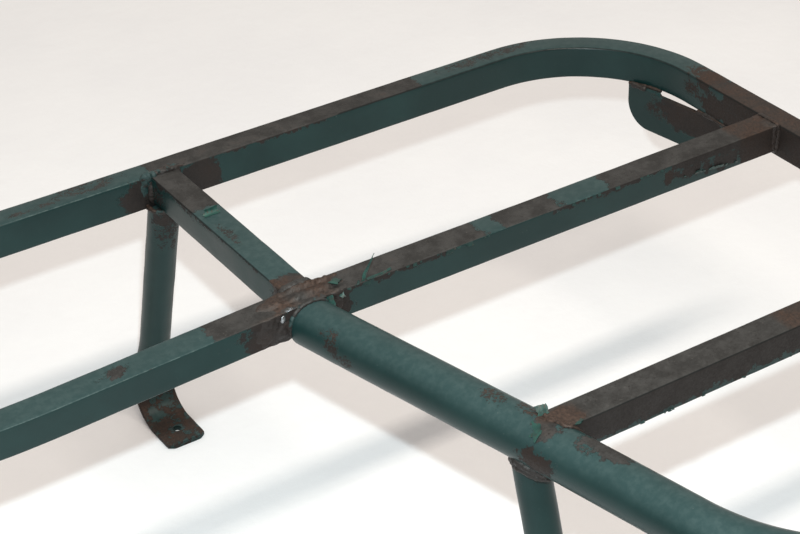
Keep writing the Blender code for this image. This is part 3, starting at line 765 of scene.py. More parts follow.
LEG_WEAR = [
    Spot((0.1952, 0.262, 0.203), (0.010, 0.010, 0.008), rust=0.9),
    Scuff((0.1952, 0.266, 0.190), (0.016, 0.018, 0.034), rust=0.6),
    Scuff((0.1950, 0.315, 0.040), (0.020, 0.040, 0.040), rust=0.7),
    Mottled((0.1950, 0.288, 0.008), (0.026, 0.044, 0.034), rust=1.0),
    Scuff((0.1950, 0.280, 0.004), (0.020, 0.020, 0.012), rust=0.8),
    Scuff((0.2399, -0.094, 0.186), (0.016, 0.018, 0.014), rust=0.3),
    Scuff((0.2399, -0.135, 0.035), (0.020, 0.040, 0.040), rust=0.7),
    Mottled((0.2399, -0.111, 0.008), (0.026, 0.044, 0.034), rust=1.0),
    Scuff((0.2399, -0.102, 0.004), (0.020, 0.020, 0.012), rust=0.8),
]
LUG_WEAR = [
    Spot((0.5800, 0.166, 0.196), (0.020, 0.033, 0.0155), rust=0.6),
    Scuff((0.5740, 0.200, 0.190), (0.010, 0.020, 0.016), rust=0.6),
    Spot((0.5705, 0.234, 0.196), (0.006, 0.0045, 0.014), rust=0.9),
]


# Members.

def worn(patches, sign):
    """The patches of a member on the right, or mirrored for the left, or both for sign 0."""
    if sign == 0:
        return patches + mirrored_patches(patches)
    return patches if sign > 0 else mirrored_patches(patches)


def add_rails():
    rail = rectangle_outline(RAIL_WIDTH, RAIL_HEIGHT, RAIL_EDGE_RADIUS)
    bar = rectangle_outline(BAR, BAR, BAR_EDGE_RADIUS)
    member(
        "outer_rail_painted", outer_rail_path(), rail, worn(RAIL_WEAR, 0),
        ["outer_rail"], dark_from=SHADED_EDGE_RAIL_X,
    )
    member("centre_rail_painted", centre_rail_path(), bar, worn(CENTRE_WEAR, 0), ["centre_rail"])
    for label, sign in SIDES:
        x = sign * CROSSBAR_X
        path = [Vector((x, REAR_INNER_Y - GAP, BAR_Z)), Vector((x, REAR_FACE_Y + GAP, BAR_Z))]
        member(
            f"crossbar_painted_{label}", path, bar, worn(CROSSBAR_WEAR, sign),
            [f"crossbar_{label}"], dark_from=0,
        )
        tube_path = front_tube_path(sign)
        member(
            f"front_tube_painted_{label}", tube_path, circle_outline(TUBE_RADIUS), worn(TUBE_WEAR, sign),
            [f"front_tube_{label}"], (to_plane_y(FRONT_FACE_Y - GAP), None),
        )
        heading = (tube_path[2] - tube_path[1]).normalized()
        on_axis = tube_path[1]

        def cope(place, along):
            return meet_cylinder(place + along * COPE_RUN_UP, -along, on_axis, heading, TUBE_RADIUS + GAP)

        start = Vector((on_axis.x + sign * (TUBE_RADIUS + SLAT_CLEARANCE), SLAT_Y, BAR_Z))
        end = Vector((sign * (RAIL_INNER_X - GAP), SLAT_Y, BAR_Z))
        member(
            f"slat_painted_{label}", [start, end], bar, worn(SLAT_WEAR, sign),
            [f"slat_{label}"], (cope, None), dark_from=0,
        )


def leg_heading(outward):
    return Vector((0, outward * math.sin(LEG_SPLAY), -math.cos(LEG_SPLAY)))


def rear_leg_top(sign):
    return Vector((sign * REAR_LEG_X, REAR_LEG_TOP_Y, TOP - RAIL_HEIGHT))


def front_leg_seat(sign):
    """The point on the front tube's axis above its leg, and the tube's heading there."""
    path = front_tube_path(sign)
    heading = (path[1] - path[0]).normalized()
    return path[0] + heading * ((FRONT_LEG_Y - path[0].y) / heading.y), heading


def leg_sections(top, outward):
    """Places down a leg: centre, forward direction, flatness."""
    down = leg_heading(outward)
    inward = Vector((0, -outward, 0))
    turn = math.pi / 2 + LEG_SPLAY
    tangent = FOOT_BEND_RADIUS * math.tan(turn / 2)
    to_pad = (top.z - FOOT_THICKNESS / 2) / -down.z
    corner = top + down * to_pad
    bend_start = corner - down * tangent
    bend_centre = bend_start + FOOT_BEND_RADIUS * Vector((0, outward * down.z, -outward * down.y))
    straight = to_pad - tangent
    places = []
    stem_steps = 40
    for step in range(stem_steps):
        places.append((top + down * ((straight - FOOT_TAPER_LENGTH) * step / stem_steps), down, 0.0))
    for step in range(25):
        share = step / 24
        along = straight - FOOT_TAPER_LENGTH * (1 - share)
        places.append((top + down * along, down, share * share * (3 - 2 * share)))
    arm = bend_start - bend_centre
    for step in range(1, 31):
        angle = turn * step / 30
        side = arm * math.cos(angle) + down * (FOOT_BEND_RADIUS * math.sin(angle))
        heading = down * math.cos(angle) - arm.normalized() * math.sin(angle)
        places.append((bend_centre + side, heading, 1.0))
    for step in range(1, 11):
        places.append((places[-1][0] + inward * (PAD_LENGTH / 10), inward, 1.0))
    return places


def add_leg(name, top, outward, seat, patches, node):
    """A leg lofted from a round tube to a bent flat foot; seat fits its top to the member above."""
    places = leg_sections(top, outward)
    pad_end = places[-1][0].y
    wear = Wear(patches)
    verts = []
    for index, (centre, heading, flatness) in enumerate(places):
        half_width = LEG_RADIUS + (FOOT_WIDTH / 2 - LEG_RADIUS) * flatness
        half_depth = LEG_RADIUS + (FOOT_THICKNESS / 2 - LEG_RADIUS) * flatness
        power = 1 - FLAT_SECTION_SQUARENESS * flatness
        from_end = abs(centre.y - pad_end)
        if flatness == 1.0 and heading.z == 0 and from_end < PAD_ROUNDING:
            half_width -= PAD_ROUNDING - math.sqrt(PAD_ROUNDING ** 2 - (PAD_ROUNDING - from_end) ** 2)
        depth = ACROSS_X.cross(heading).normalized()
        for step in range(LEG_SIDES):
            angle = 2 * math.pi * (step + 0.5) / LEG_SIDES
            cosine, sine = math.cos(angle), math.sin(angle)
            across = math.copysign(abs(cosine) ** power, cosine) * half_width
            through = math.copysign(abs(sine) ** power, sine) * half_depth
            normal = (ACROSS_X * cosine + depth * sine).normalized()
            place = centre + ACROSS_X * across + depth * through
            place = place + normal * dent(place, LEG_DENT)
            if index == 0:
                place = seat(place, -heading)
            place.z = max(place.z, 0.0)
            verts.append(place)
            wear.add(place, normal)
    leg = finish_mesh(name, verts, bridge(len(places), LEG_SIDES), PAINTED, wear.values, [node])
    drill(leg, Vector((top.x, pad_end + outward * FOOT_HOLE_FROM_END, 0)))
    return leg


def drill(piece, place):
    """The bolt hole through a pad."""
    mesh = bpy.data.meshes.new("drill")
    shell = bmesh.new()
    bmesh.ops.create_cone(
        shell, cap_ends=True, segments=40, radius1=FOOT_HOLE_RADIUS, radius2=FOOT_HOLE_RADIUS,
        depth=6 * FOOT_THICKNESS, matrix=Matrix.Translation(place),
    )
    shell.to_mesh(mesh)
    shell.free()
    cutter = bpy.data.objects.new("drill", mesh)
    bpy.context.scene.collection.objects.link(cutter)
    modifier = piece.modifiers.new("hole", "BOOLEAN")
    modifier.operation = "DIFFERENCE"
    modifier.object = cutter
    bpy.context.view_layer.update()
    evaluated = piece.evaluated_get(bpy.context.evaluated_depsgraph_get())
    drilled = bpy.data.meshes.new_from_object(evaluated)
    piece.modifiers.remove(modifier)
    piece.data = drilled
    bpy.data.objects.remove(cutter)


def add_legs():
    for label, sign in SIDES:
        patches = worn(LEG_WEAR, sign)

        def under_rail(place, upward):
            ceiling = TOP - (RAIL_HEIGHT if place.y > REAR_INNER_Y - SEAT_OVERLAP else BAR) - GAP
            return place + upward * ((ceiling - place.z) / upward.z)

        add_leg(f"rear_leg_painted_{label}", rear_leg_top(sign), 1, under_rail, patches, f"rear_leg_{label}")
        on_axis, heading = front_leg_seat(sign)

        def under_tube(place, upward):
            return meet_cylinder(place - upward * COPE_RUN_UP, upward, on_axis, heading, TUBE_RADIUS + GAP)

        top = on_axis - UP * TUBE_RADIUS
        add_leg(f"front_leg_painted_{label}", top, -1, under_tube, patches, f"front_leg_{label}")


def lug_line(sign, height):
    """A lug's rear end and its heading, at a height."""
    far = Vector((sign * LUG_FAR.x, LUG_FAR.y, height))
    near = Vector((sign * LUG_NEAR.x, LUG_NEAR.y, height))
    return far, (near - far).normalized()


def add_lugs():
    """Flat strips on edge under the rail, with a thin slit above each."""
    length = (LUG_FAR - LUG_NEAR).length
    radius = LUG_CORNER_RADIUS
    outline = []
    for step in range(17):
        angle = math.radians(180 + 90 * step / 16)
        outline.append((radius * (1 + math.cos(angle)), radius * (1 + math.sin(angle))))
    start, end = LUG_SLOT_ENDS
    outline += [(radius + (length - radius) * step / 20, 0) for step in range(1, 21)]
    outline += [(length, LUG_HEIGHT * step / 8) for step in range(1, 9)]
    outline += [(end, LUG_HEIGHT), (end - LUG_SLOT_DEPTH, LUG_HEIGHT - LUG_SLOT_DEPTH)]
    outline += [(start + LUG_SLOT_DEPTH, LUG_HEIGHT - LUG_SLOT_DEPTH), (start, LUG_HEIGHT), (0, LUG_HEIGHT)]
    for label, sign in SIDES:
        far, along = lug_line(sign, TOP - RAIL_HEIGHT - GAP - LUG_HEIGHT)
        through = along.cross(UP)
        shell = bmesh.new()
        behind = far - through * LUG_THICKNESS / 2
        sheet = shell.faces.new([shell.verts.new(behind + along * run + UP * rise) for run, rise in outline])
        grown = bmesh.ops.extrude_face_region(shell, geom=[sheet])
        moved = [item for item in grown["geom"] if isinstance(item, bmesh.types.BMVert)]
        bmesh.ops.translate(shell, verts=moved, vec=through * LUG_THICKNESS)
        bmesh.ops.triangulate(shell, faces=[face for face in shell.faces if len(face.verts) > 4])
        bmesh.ops.subdivide_edges(
            shell, edges=[edge for edge in shell.edges if edge.calc_length() > LUG_LONGEST_EDGE],
            cuts=3, use_grid_fill=True,
        )
        shell.verts.index_update()
        verts = [vert.co.copy() for vert in shell.verts]
        faces = [[vert.index for vert in face.verts] for face in shell.faces]
        shell.free()
        wear = Wear(worn(LUG_WEAR, sign))
        for vert in verts:
            wear.add(vert, UP)
        finish_mesh(f"lug_painted_{label}", verts, faces, PAINTED, wear.values, [f"lug_{label}"])


# Welds.

def weld_attributes(points, rust, bare, shift):
    """The attributes that the weld material reads, with uneven rust."""
    return {
        "rust": [rust + 0.5 * noise.noise(point * 60 + shift) for point in points],
        "bare": [bare] * len(points),
    }


def bead(name, points, nodes=(), closed=False, radius=BEAD_RADIUS, rust=0.45, bare=0.32, seed=0):
    """A lumpy weld bead: ripples along a seam, with uneven width, and rounded ends if it isn't closed."""
    path = resampled(points + points[:1], BEAD_STEP)[:-1] if closed else resampled(points, BEAD_STEP)
    shift = Vector((seed * 3.7, seed * 1.3, seed * 2.1))
    verts = []
    for index, (centre, heading) in enumerate(zip(path, tangents(path, closed))):
        side = heading.cross(UP)
        if side.length < 0.2:
            side = heading.cross(ACROSS_X)
        side.normalize()
        upward = side.cross(heading).normalized()
        turns = index * BEAD_STEP * 2 * math.pi / BEAD_RIPPLE
        ripple = 0.045 * math.sin(turns + 4.0 * noise.noise(centre * 150 + shift))
        swell = 1 + ripple + 0.42 * noise.noise(centre * 85 + shift)
        if not closed:
            to_end = min(index, len(path) - 1 - index) * BEAD_STEP
            swell *= math.sqrt(max(1 - (1 - min(to_end / radius, 1)) ** 2, 0.02))
        for angle in round_angles(BEAD_SIDES):
            direction = side * math.cos(angle) + upward * math.sin(angle)
            lump = 1 + 0.22 * noise.noise((centre + direction * radius) * 420 + shift)
            verts.append(centre + direction * (radius * swell * lump))
    attributes = weld_attributes(verts, rust, bare, shift)
    faces = bridge(len(path), BEAD_SIDES, closed)
    return finish_mesh(name, verts, faces, WELD, attributes, nodes)


def seam_bead(place, label, points, **looks):
    """The bead that stands for one CAD weld."""
    return bead(f"weld_bead_{place}_{label}", points, [f"weld_{place}_{label}"], **looks)


def box_seam(centre, across, width, height, corner=0.0034):
    """A closed seam round a bar's end; across is the level direction of the bar's width."""
    points = rectangle_outline(width, height, corner)
    return [centre + across * point[0] + UP * point[1] for point in points]


def circle_points(centre, side, up, radius, count=48):
    return [
        centre + radius * (math.cos(angle) * side + math.sin(angle) * up) for angle in round_angles(count)
    ]


def add_frame_welds(label, sign):
    """Beads at the ends of the crossbar, the centre rail, the slat and the outer rail's stub."""
    x = sign * CROSSBAR_X
    inner_x = sign * RAIL_INNER_X
    bar = (BAR, BAR)
    rail = (RAIL_WIDTH, RAIL_HEIGHT)
    for place, centre, across, size, looks in (
        ("crossbar_rear", (x, REAR_INNER_Y, BAR_Z), ACROSS_X, bar, dict(seed=1)),
        ("crossbar_centre", (x, REAR_FACE_Y, BAR_Z), ACROSS_X, bar, dict(seed=2)),
        ("centre_end", (inner_x, CENTRE_Y, BAR_Z), ACROSS_Y, bar, dict(rust=0.9, seed=3, radius=0.0020)),
        ("slat_end", (inner_x, SLAT_Y, BAR_Z), ACROSS_Y, bar, dict(rust=0.8, seed=4, radius=0.0020)),
        ("tube_stub", (sign * STUB_END_X, FRONT_AXIS_Y, RAIL_Z), ACROSS_Y, rail, dict(bare=0.1, seed=5)),
    ):
        seam_bead(place, label, box_seam(Vector(centre), across, *size), closed=True, **looks)


def add_tube_welds(label, sign):
    """Beads round the front tube's end, the slat's coped end and the front leg's top."""
    path = front_tube_path(sign)
    heading = (path[1] - path[0]).normalized()
    side = heading.cross(UP)
    seam = []
    lowest = -math.asin((BAR - TUBE_RADIUS) / TUBE_RADIUS)
    for step in range(49):
        angle = lowest + (math.pi - 2 * lowest) * step / 48
        point = path[0] + TUBE_RADIUS * (math.cos(angle) * side + math.sin(angle) * UP)
        seam.append(point + heading * ((FRONT_FACE_Y - point.y) / heading.y))
    seam_bead("tube_centre", label, seam, rust=0.4, bare=0.0, seed=6, radius=0.0017)
    past_slat = (path[2] - path[1]).normalized()
    centre = Vector((sign * (RAIL_INNER_X - GAP), SLAT_Y, BAR_Z))
    outline = box_seam(centre, ACROSS_Y, BAR, BAR - SLAT_SEAM_INSET)
    towards = Vector((-sign, 0, 0))
    seam = [meet_cylinder(point, towards, path[1], past_slat, TUBE_RADIUS) for point in outline]
    seam_bead("slat_tube", label, seam, closed=True, rust=1.0, bare=0.45, seed=7, radius=0.0015)
    on_axis, heading = front_leg_seat(sign)
    down = leg_heading(-1)
    below = circle_points(on_axis + down * LEG_SEAM_START, ACROSS_X, ACROSS_X.cross(down), LEG_RADIUS)
    seam = [meet_cylinder(point, -down, on_axis, heading, TUBE_RADIUS) for point in below]
    seam_bead("front_leg", label, seam, closed=True, rust=0.3, bare=0.4, seed=8, radius=0.0033)
    lower = [point + down * SECOND_PASS_DROP for point in seam]
    name = f"weld_bead_front_leg_second_{label}"
    bead(name, lower, closed=True, rust=0.2, bare=0.1, seed=11, radius=0.0020)


def add_rear_leg_weld(label, sign):
    """A bead round the leg's top, which drops from under the crossbar to under the rail."""
    down = leg_heading(1)
    seam = []
    for point in circle_points(rear_leg_top(sign), ACROSS_X, ACROSS_X.cross(down), LEG_RADIUS):
        under_bar = point - down * ((point.z - TOP + BAR) / down.z)
        share = min(max((under_bar.y - REAR_INNER_Y) / BEAD_RADIUS + 1, 0), 1)
        seam.append(under_bar + down * ((RAIL_HEIGHT - BAR) * share / -down.z))
    seam_bead("rear_leg", label, seam, closed=True, rust=0.8, bare=0.1, seed=9, radius=0.0014)


def add_lug_welds(label, sign):
    """Two short beads on the lug's inner side, at its ends."""
    far, along = lug_line(sign, TOP - RAIL_HEIGHT)
    inner = along.cross(UP) * (sign * LUG_THICKNESS / 2)
    front = (LUG_FAR - LUG_NEAR).length - LUG_WELD_LENGTH - LUG_WELD_INSET
    for place, start in (("lug_rear", LUG_WELD_INSET), ("lug_front", front)):
        first = far + inner + along * start
        seam_bead(place, label, [first, first + along * LUG_WELD_LENGTH], radius=0.0022, seed=10)


def slab_faces(columns, rows):
    """Faces of a closed slab: a grid of points, then the same grid again under it."""
    faces = []
    under = columns * rows
    for column in range(columns - 1):
        for row in range(rows - 1):
            here = column * rows + row
            there = here + rows
            faces.append((here, there, there + 1, here + 1))
            faces.append((under + here, under + here + 1, under + there + 1, under + there))
    rim = list(range(rows))
    rim += [column * rows + rows - 1 for column in range(1, columns)]
    rim += [(columns - 1) * rows + row for row in range(rows - 2, -1, -1)]
    rim += [column * rows for column in range(columns - 2, 0, -1)]
    for here, after in zip(rim, rim[1:] + rim[:1]):
        faces.append((here, after, under + after, under + here))
    return faces


def bar_skin(corner, along, outward, run, over):
    """Place and normal on a bar: over the top where over is positive, down its side where negative."""
    turn = min(max(over / SKIN_TURN, -1), 1)
    angle = math.radians(45 * (turn + 1))
    normal = UP * math.sin(angle) + outward * math.cos(angle)
    place = corner + along * run
    if over > 0:
        return place - outward * over, normal
    return place + UP * over, normal


def crust(name, corner, along, outward, blobs, spans, rust=0.6, bare=0.6, seed=0, material=WELD, sag=0.0):
    """Weld metal spread over a bar. A blob is its place along and over, its two radii and its height.

    sag is how far the bar falls by the middle of the rack, in a straight line from the crossbar.
    """
    (first, last), (lowest, highest) = spans
    columns = int((last - first) / CRUST_PITCH) + 2
    rows = int((highest - lowest) / CRUST_PITCH) + 2
    shift = Vector((seed * 2.9, seed * 1.7, seed * 3.1))
    verts, under = [], []
    for column in range(columns):
        for row in range(rows):
            run = first + (last - first) * column / (columns - 1)
            over = lowest + (highest - lowest) * row / (rows - 1)
            place, normal = bar_skin(corner, along, outward, run, over)
            place = place - UP * (sag * max(1 - run / CROSSBAR_X, 0))
            ragged = 0.45 * noise.noise(place * 170 + shift)
            height = 0.0
            for centre_run, centre_over, reach_run, reach_over, thick in blobs:
                far = ((run - centre_run) / reach_run) ** 2 + ((over - centre_over) / reach_over) ** 2
                if far + ragged < 1:
                    height = math.hypot(height, thick * math.sqrt(1 - far - ragged))
            height *= 1 + 0.35 * noise.noise(place * 430 + shift)
            verts.append(place + normal * (height - CRUST_SINK))
            under.append(place - normal * 2 * CRUST_SINK)
    points = verts + under
    attributes = weld_attributes(points, rust, bare, shift)
    return finish_mesh(name, points, slab_faces(columns, rows), material, attributes)


# Lumps of weld: (place along, place over the edge, radius along, radius over, height), in metres.
JUNCTION_LUMPS = (
    (0.197, 0.0110, 0.034, 0.0120, 0.0020),
    (0.203, 0.0172, 0.028, 0.0030, 0.0034),
    (0.203, 0.0078, 0.022, 0.0028, 0.0036),
    (0.176, 0.0120, 0.010, 0.0050, 0.0030),
    (0.171, -0.0100, 0.013, 0.0125, 0.0021),
    (0.180, -0.0150, 0.007, 0.0090, 0.0026),
    (0.217, 0.0015, 0.010, 0.0045, 0.0022),
    (0.2185, -0.0060, 0.0045, 0.0110, 0.0017),
)
CROSSBAR_LUMPS = (
    (0.1020, 0.0100, 0.0110, 0.0110, 0.0019),
    (0.1060, 0.0020, 0.0100, 0.0045, 0.0020),
    (0.1030, -0.0080, 0.0060, 0.0100, 0.0018),
)
REAR_JOINT_LUMPS = (
    (0.1985, 0.0010, 0.0170, 0.0044, 0.0034),
    (0.1880, -0.0010, 0.0060, 0.0055, 0.0038),
    (0.2060, 0.0005, 0.0060, 0.0050, 0.0032),
    (0.1850, -0.0100, 0.0040, 0.0080, 0.0020),
)
END_JOINT_LUMPS = (
    (0.5770, 0.0100, 0.0065, 0.0120, 0.0020),
    (0.5790, -0.0080, 0.0040, 0.0130, 0.0021),
)
SLAT_LUMPS = (
    (0.2540, 0.0130, 0.0120, 0.0075, 0.0019),
    (0.2600, 0.0040, 0.0110, 0.0040, 0.0017),
)
SCRAPED_LUMPS = (
    (0.1845, 0.0008, 0.0044, 0.0020, 0.0027),
    (0.1785, -0.0045, 0.0026, 0.0034, 0.0025),
)


def add_lug_lips(label, sign):
    """The paint-filled seam along the rail's inner lower edge, open only where the slit shows."""
    corner = (HALF_LENGTH - CORNER_RADIUS, REAR_EDGE_Y - CORNER_RADIUS)
    edge_z = TOP - RAIL_HEIGHT
    rear = arc(corner, CORNER_RADIUS - RAIL_WIDTH, 30, LUG_LIP_OPENS_AT, edge_z, 16)
    front = [Vector((RAIL_INNER_X, y, edge_z)) for y in LUG_LIP_FRONT_Y]
    for place, points in (("rear", rear), ("front", front)):
        points = mirrored(points, sign)
        bead(f"lug_lip_{place}_{label}", points, radius=0.0014, bare=0.2, rust=0.8, seed=26)


def add_crusts(label, sign):
    """The weld metal that has run over the members where they meet."""
    along = ACROSS_X * sign
    near = -ACROSS_Y
    centre_edge = Vector((0, FRONT_FACE_Y, TOP))
    left_edge = Vector((sign * CROSSBAR_LEFT_X, 0, TOP))
    rear_edge = Vector((0, REAR_INNER_Y, TOP))
    slat_edge = Vector((0, SLAT_NEAR_Y, TOP))
    end_span = ((0.562, RAIL_INNER_X), (-BAR, BAR))
    for place, edge, run, outward, lumps, spans, looks in (
        ("crust_junction", centre_edge, along, near, JUNCTION_LUMPS, ((0.148, 0.246), (-BAR, BAR)),
         dict(rust=0.75, seed=21, sag=CENTRE_SAG)),
        ("crust_crossbar", left_edge, ACROSS_Y, -along, CROSSBAR_LUMPS,
         ((REAR_FACE_Y - 0.002, 0.122), (-BAR, BAR)), dict(rust=0.8, bare=0.45, seed=22)),
        ("crust_rear", rear_edge, along, near, REAR_JOINT_LUMPS, ((0.176, 0.222), (-0.020, 0.010)),
         dict(rust=0.6, bare=-0.02, seed=23)),
        ("crust_end_centre", centre_edge, along, near, END_JOINT_LUMPS, end_span, dict(rust=0.9, seed=25)),
        ("crust_end_slat", slat_edge, along, near, END_JOINT_LUMPS, end_span, dict(rust=0.9, seed=25)),
        ("crust_slat", slat_edge, along, near, SLAT_LUMPS, ((0.244, 0.284), (-0.003, BAR)),
         dict(rust=1.1, seed=27)),
        ("scraped", centre_edge, along, near, SCRAPED_LUMPS, ((0.172, 0.192), (-0.011, 0.005)),
         dict(seed=24, material=SCRAPED, sag=CENTRE_SAG)),
    ):
        crust(f"weld_{place}_{label}", edge, run, outward, lumps, spans, **looks)


def add_welds():
    for label, sign in SIDES:
        add_frame_welds(label, sign)
        add_tube_welds(label, sign)
        add_rear_leg_weld(label, sign)
        add_lug_welds(label, sign)
        add_crusts(label, sign)
        add_lug_lips(label, sign)


# Torn paint.

def torn_flake(root, rise, lean, across, length, width, curl, taper, seed):
    """A ragged sheet of paint, held at its root, that sets out along rise and curls towards lean."""
    rise, lean, across = Vector(rise).normalized(), Vector(lean).normalized(), Vector(across).normalized()
    shift = Vector((seed * 5.1, seed * 2.3, seed * 0.7))
    top, under = [], []
    for column in range(FLAKE_COLUMNS):
        share = column / (FLAKE_COLUMNS - 1)
        angle = curl * share
        heading = rise * math.cos(angle) + lean * math.sin(angle)
        risen, leant = length * math.sin(angle) / curl, length * (1 - math.cos(angle)) / curl
        centre = Vector(root) + rise * risen + lean * leant
        normal = heading.cross(across).normalized()
        for row in range(FLAKE_ROWS):
            side = 2 * row / (FLAKE_ROWS - 1) - 1
            ragged = noise.noise(Vector((share * 3.5, math.copysign(1, side) * 2, 0)) + shift)
            half = width / 2 * (1 - taper * share ** 1.5) * (1 + 0.55 * ragged)
            jagged = noise.noise(Vector((side * 2.6, share, 7)) + shift)
            jag = heading * (length * (0.10 + 0.22 * taper) * share * jagged)
            wave = normal * (0.05 * length * noise.noise(Vector((side * 1.5, share * 2.5, 3)) + shift))
            place = centre + across * (side * half) + jag + wave
            top.append(place)
            under.append(place - normal * FLAKE_THICKNESS)
    return top + under


def add_flakes(name, flakes, material):
    """Several flakes as one piece."""
    verts, faces = [], []
    for seed, flake in enumerate(flakes):
        start = len(verts)
        verts += torn_flake(*flake, seed)
        faces += [tuple(index + start for index in face) for face in slab_faces(FLAKE_COLUMNS, FLAKE_ROWS)]
    return finish_mesh(name, verts, faces, material)


# Curled pieces of paint: root, rise, lean, across, length, width, curl in radians, taper.
CURLED_FLAKES = (
    ((0.2365, 0.0785, 0.2268), (0.30, -0.05, 1.0), (1.0, 0.1, 0.3), (1, 0, 0), 0.0180, 0.0034, 0.45, 0.95),
    ((0.2330, 0.0780, 0.2266), (-0.10, -0.20, 1.0), (-0.3, -1.0, 0.3), (1, 0, 0), 0.0060, 0.0026, 0.7, 0.6),
    ((0.2400, 0.0785, 0.2282), (1.0, 0.04, 0.0), (0.0, 0.1, 1.0), (0, 1, 0), 0.0190, 0.0022, 0.08, 0.5),
    ((0.2185, 0.0835, 0.2308), (0.6, 0.5, -0.1), (0, 0, -1), (-0.5, 0.6, 0), 0.0100, 0.0060, 0.3, 0.3),
    ((0.2125, 0.0768, 0.2275), (0.05, -0.15, -1.0), (0.0, -1.0, 0.2), (1, 0, 0), 0.0105, 0.0045, 0.5, 0.5),
    ((0.2190, 0.0772, 0.2278), (0.4, -0.20, -0.8), (0.0, -1.0, 0.2), (1, 0, 0.3), 0.0045, 0.0040, 0.8, 0.4),
    ((0.1995, 0.2030, 0.2283), (0.05, 1.0, 0.10), (0, -0.4, 1.0), (1, 0, 0), 0.0070, 0.0120, 1.5, 0.15),
    ((0.2455, -0.0990, 0.2262), (0.15, 0.55, 0.80), (0.1, 0.9, 0.3), (1, -0.2, 0), 0.0065, 0.0075, 0.9, 0.0),
    (
        (0.2342, -0.0990, 0.2257), (0.0, -1.0, -0.05), (-0.6, -0.15, 0.8), (0.77, 0.16, 0.6),
        0.0110, 0.0080, 0.35, 0.1,
    ),
    ((0.2560, -0.1110, 0.2274), (0.50, -0.80, 0.05), (0, 0, 1), (0.8, 0.5, 0), 0.0060, 0.0060, 0.5, 0.3),
)


# Edges with torn flakes left on them: start, end, the way they hang, how many, length, random seed.
FLAKED_TOP_Z = TOP - 0.0006
FLAKED_SLAT_Y = SLAT_NEAR_Y - FLAKE_LIFT
FLAKED_SLAT_Z = TOP - BAR + 0.0018
REMNANT_EDGES = (
    ((0.226, FRONT_FACE_Y, FLAKED_TOP_Z), (0.335, FRONT_FACE_Y, FLAKED_TOP_Z), -UP, 26, 0.0022, 31),
    ((0.395, FRONT_FACE_Y, FLAKED_TOP_Z), (0.480, FRONT_FACE_Y, FLAKED_TOP_Z), -UP, 12, 0.0016, 32),
    ((0.302, FLAKED_SLAT_Y, FLAKED_SLAT_Z), (0.560, FLAKED_SLAT_Y, FLAKED_SLAT_Z), -UP, 52, 0.0013, 33),
)
SPOTTED_EDGE = ((0.494, FRONT_FACE_Y, 0.2150), (0.544, FRONT_FACE_Y, 0.2105), UP, 22, 0.0026, 34)


def edge_remnants(start, end, hang, count, length, seed):
    """Small torn flakes that hang on here and there along a near edge, from start to end."""
    start, end = Vector(start), Vector(end)
    outward = -ACROSS_Y
    draw = random.Random(seed)
    along = (end - start).normalized()
    flakes = []
    for _ in range(count):
        place = start.lerp(end, draw.random())
        rise = hang + outward * (0.05 + 0.15 * draw.random()) + along * (1.2 * draw.random() - 0.6)
        reach = length * (0.3 + draw.random() ** 2)
        width = reach * (0.7 + 1.5 * draw.random())
        curl, taper = 0.2 + 0.6 * draw.random(), 0.6 * draw.random()
        flakes.append((place, rise, outward, along, reach, width, curl, taper))
    return flakes


def mirrored_flakes(flakes):
    turned = []
    for flake in flakes:
        vectors = [(-vector[0], vector[1], vector[2]) for vector in flake[:4]]
        turned.append((*vectors, *flake[4:]))
    return turned


def add_torn_paint():
    remnants = [flake for edge in REMNANT_EDGES for flake in edge_remnants(*edge)]
    spots = edge_remnants(*SPOTTED_EDGE)
    for label, sign in SIDES:
        for name, flakes, material in (
            ("curls", CURLED_FLAKES, CURLED), ("edges", remnants, TORN_EDGE), ("spots", spots, TORN_EDGE)
        ):
            flakes = flakes if sign > 0 else mirrored_flakes(flakes)
            add_flakes(f"torn_paint_{name}_{label}", flakes, material)


# Floor, camera and light.

FLOOR_CORNERS = ((-6, -6, 0), (6, -6, 0), (6, 8, 0), (-6, 8, 0))
CAMERA_PLACE = Vector((-0.31425, -0.83231, 0.91768))
CAMERA_AZIMUTH = math.radians(32.45)
CAMERA_FALL = math.radians(-32.58)
CAMERA_ROLL = math.radians(-1.76)
CAMERA_LENS = 91.67
ROOM_COLOUR = (1.0, 0.940, 0.885, 1)
ROOM_STRENGTH = 0.57


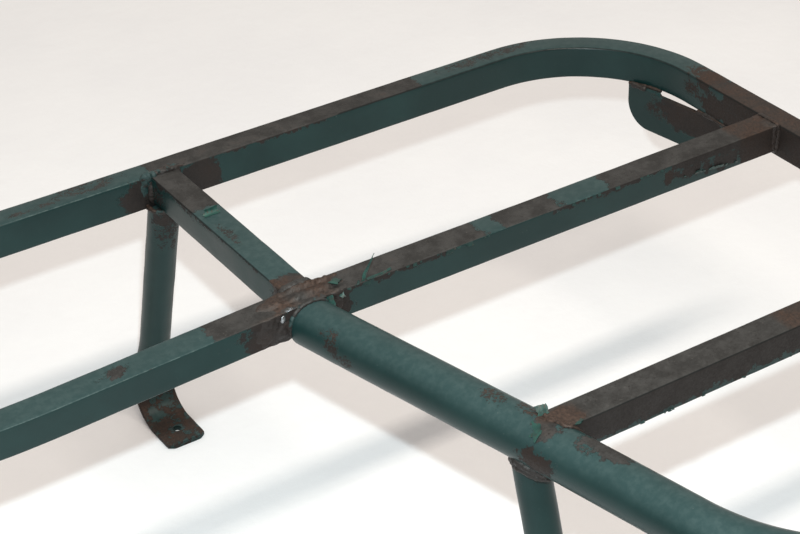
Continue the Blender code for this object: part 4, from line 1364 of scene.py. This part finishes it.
def add_stage():
    floor_mesh = bpy.data.meshes.new("floor")
    floor_mesh.from_pydata(FLOOR_CORNERS, [], [(0, 1, 2, 3)])
    floor_mesh.materials.append(make_floor_material())
    floor = bpy.data.objects.new("floor", floor_mesh)
    bpy.context.scene.collection.objects.link(floor)


def add_camera():
    forward = Vector((
        math.sin(CAMERA_AZIMUTH) * math.cos(CAMERA_FALL),
        math.cos(CAMERA_AZIMUTH) * math.cos(CAMERA_FALL),
        math.sin(CAMERA_FALL),
    ))
    right = forward.cross(UP).normalized()
    up = right.cross(forward)
    rolled_right = right * math.cos(CAMERA_ROLL) + up * math.sin(CAMERA_ROLL)
    rolled_up = up * math.cos(CAMERA_ROLL) - right * math.sin(CAMERA_ROLL)
    place = Matrix((rolled_right, rolled_up, -forward)).transposed().to_4x4()
    place.translation = CAMERA_PLACE
    camera = bpy.data.objects.new("camera", bpy.data.cameras.new("camera"))
    camera.data.lens = CAMERA_LENS
    camera.matrix_world = place
    bpy.context.scene.collection.objects.link(camera)
    bpy.context.scene.camera = camera


def add_area_light(name, place, target, sizes, power, colour):
    light = bpy.data.objects.new(name, bpy.data.lights.new(name, "AREA"))
    light.data.shape = "RECTANGLE"
    light.data.size, light.data.size_y = sizes
    light.data.energy = power
    light.data.color = colour
    light.visible_camera = False
    light.location = place
    light.rotation_mode = "QUATERNION"
    light.rotation_quaternion = (Vector(target) - Vector(place)).to_track_quat("-Z", "Y")
    bpy.context.scene.collection.objects.link(light)


def add_lights():
    """A small flash, which throws crisp shadows, and a long warm strip overhead."""
    middle = (0.25, 0.15, 0.0)
    add_area_light("flash", (-0.180, -0.590, 0.850), middle, (0.02, 0.02), 9.2, (0.81, 0.96, 1.0))
    add_area_light("strip", (0.3, -0.925, 2.6), (0.3, 0.17, 0.0), (1.6, 0.20), 32.0, (1.0, 0.90, 0.80))
    world = bpy.data.worlds.new("studio")
    bpy.context.scene.world = world
    world.use_nodes = True
    background = world.node_tree.nodes["Background"]
    background.inputs["Color"].default_value = ROOM_COLOUR
    background.inputs["Strength"].default_value = ROOM_STRENGTH
    bpy.context.scene.view_settings.view_transform = "Standard"


add_rails()
add_legs()
add_lugs()
add_welds()
add_torn_paint()
add_stage()
add_camera()
add_lights()
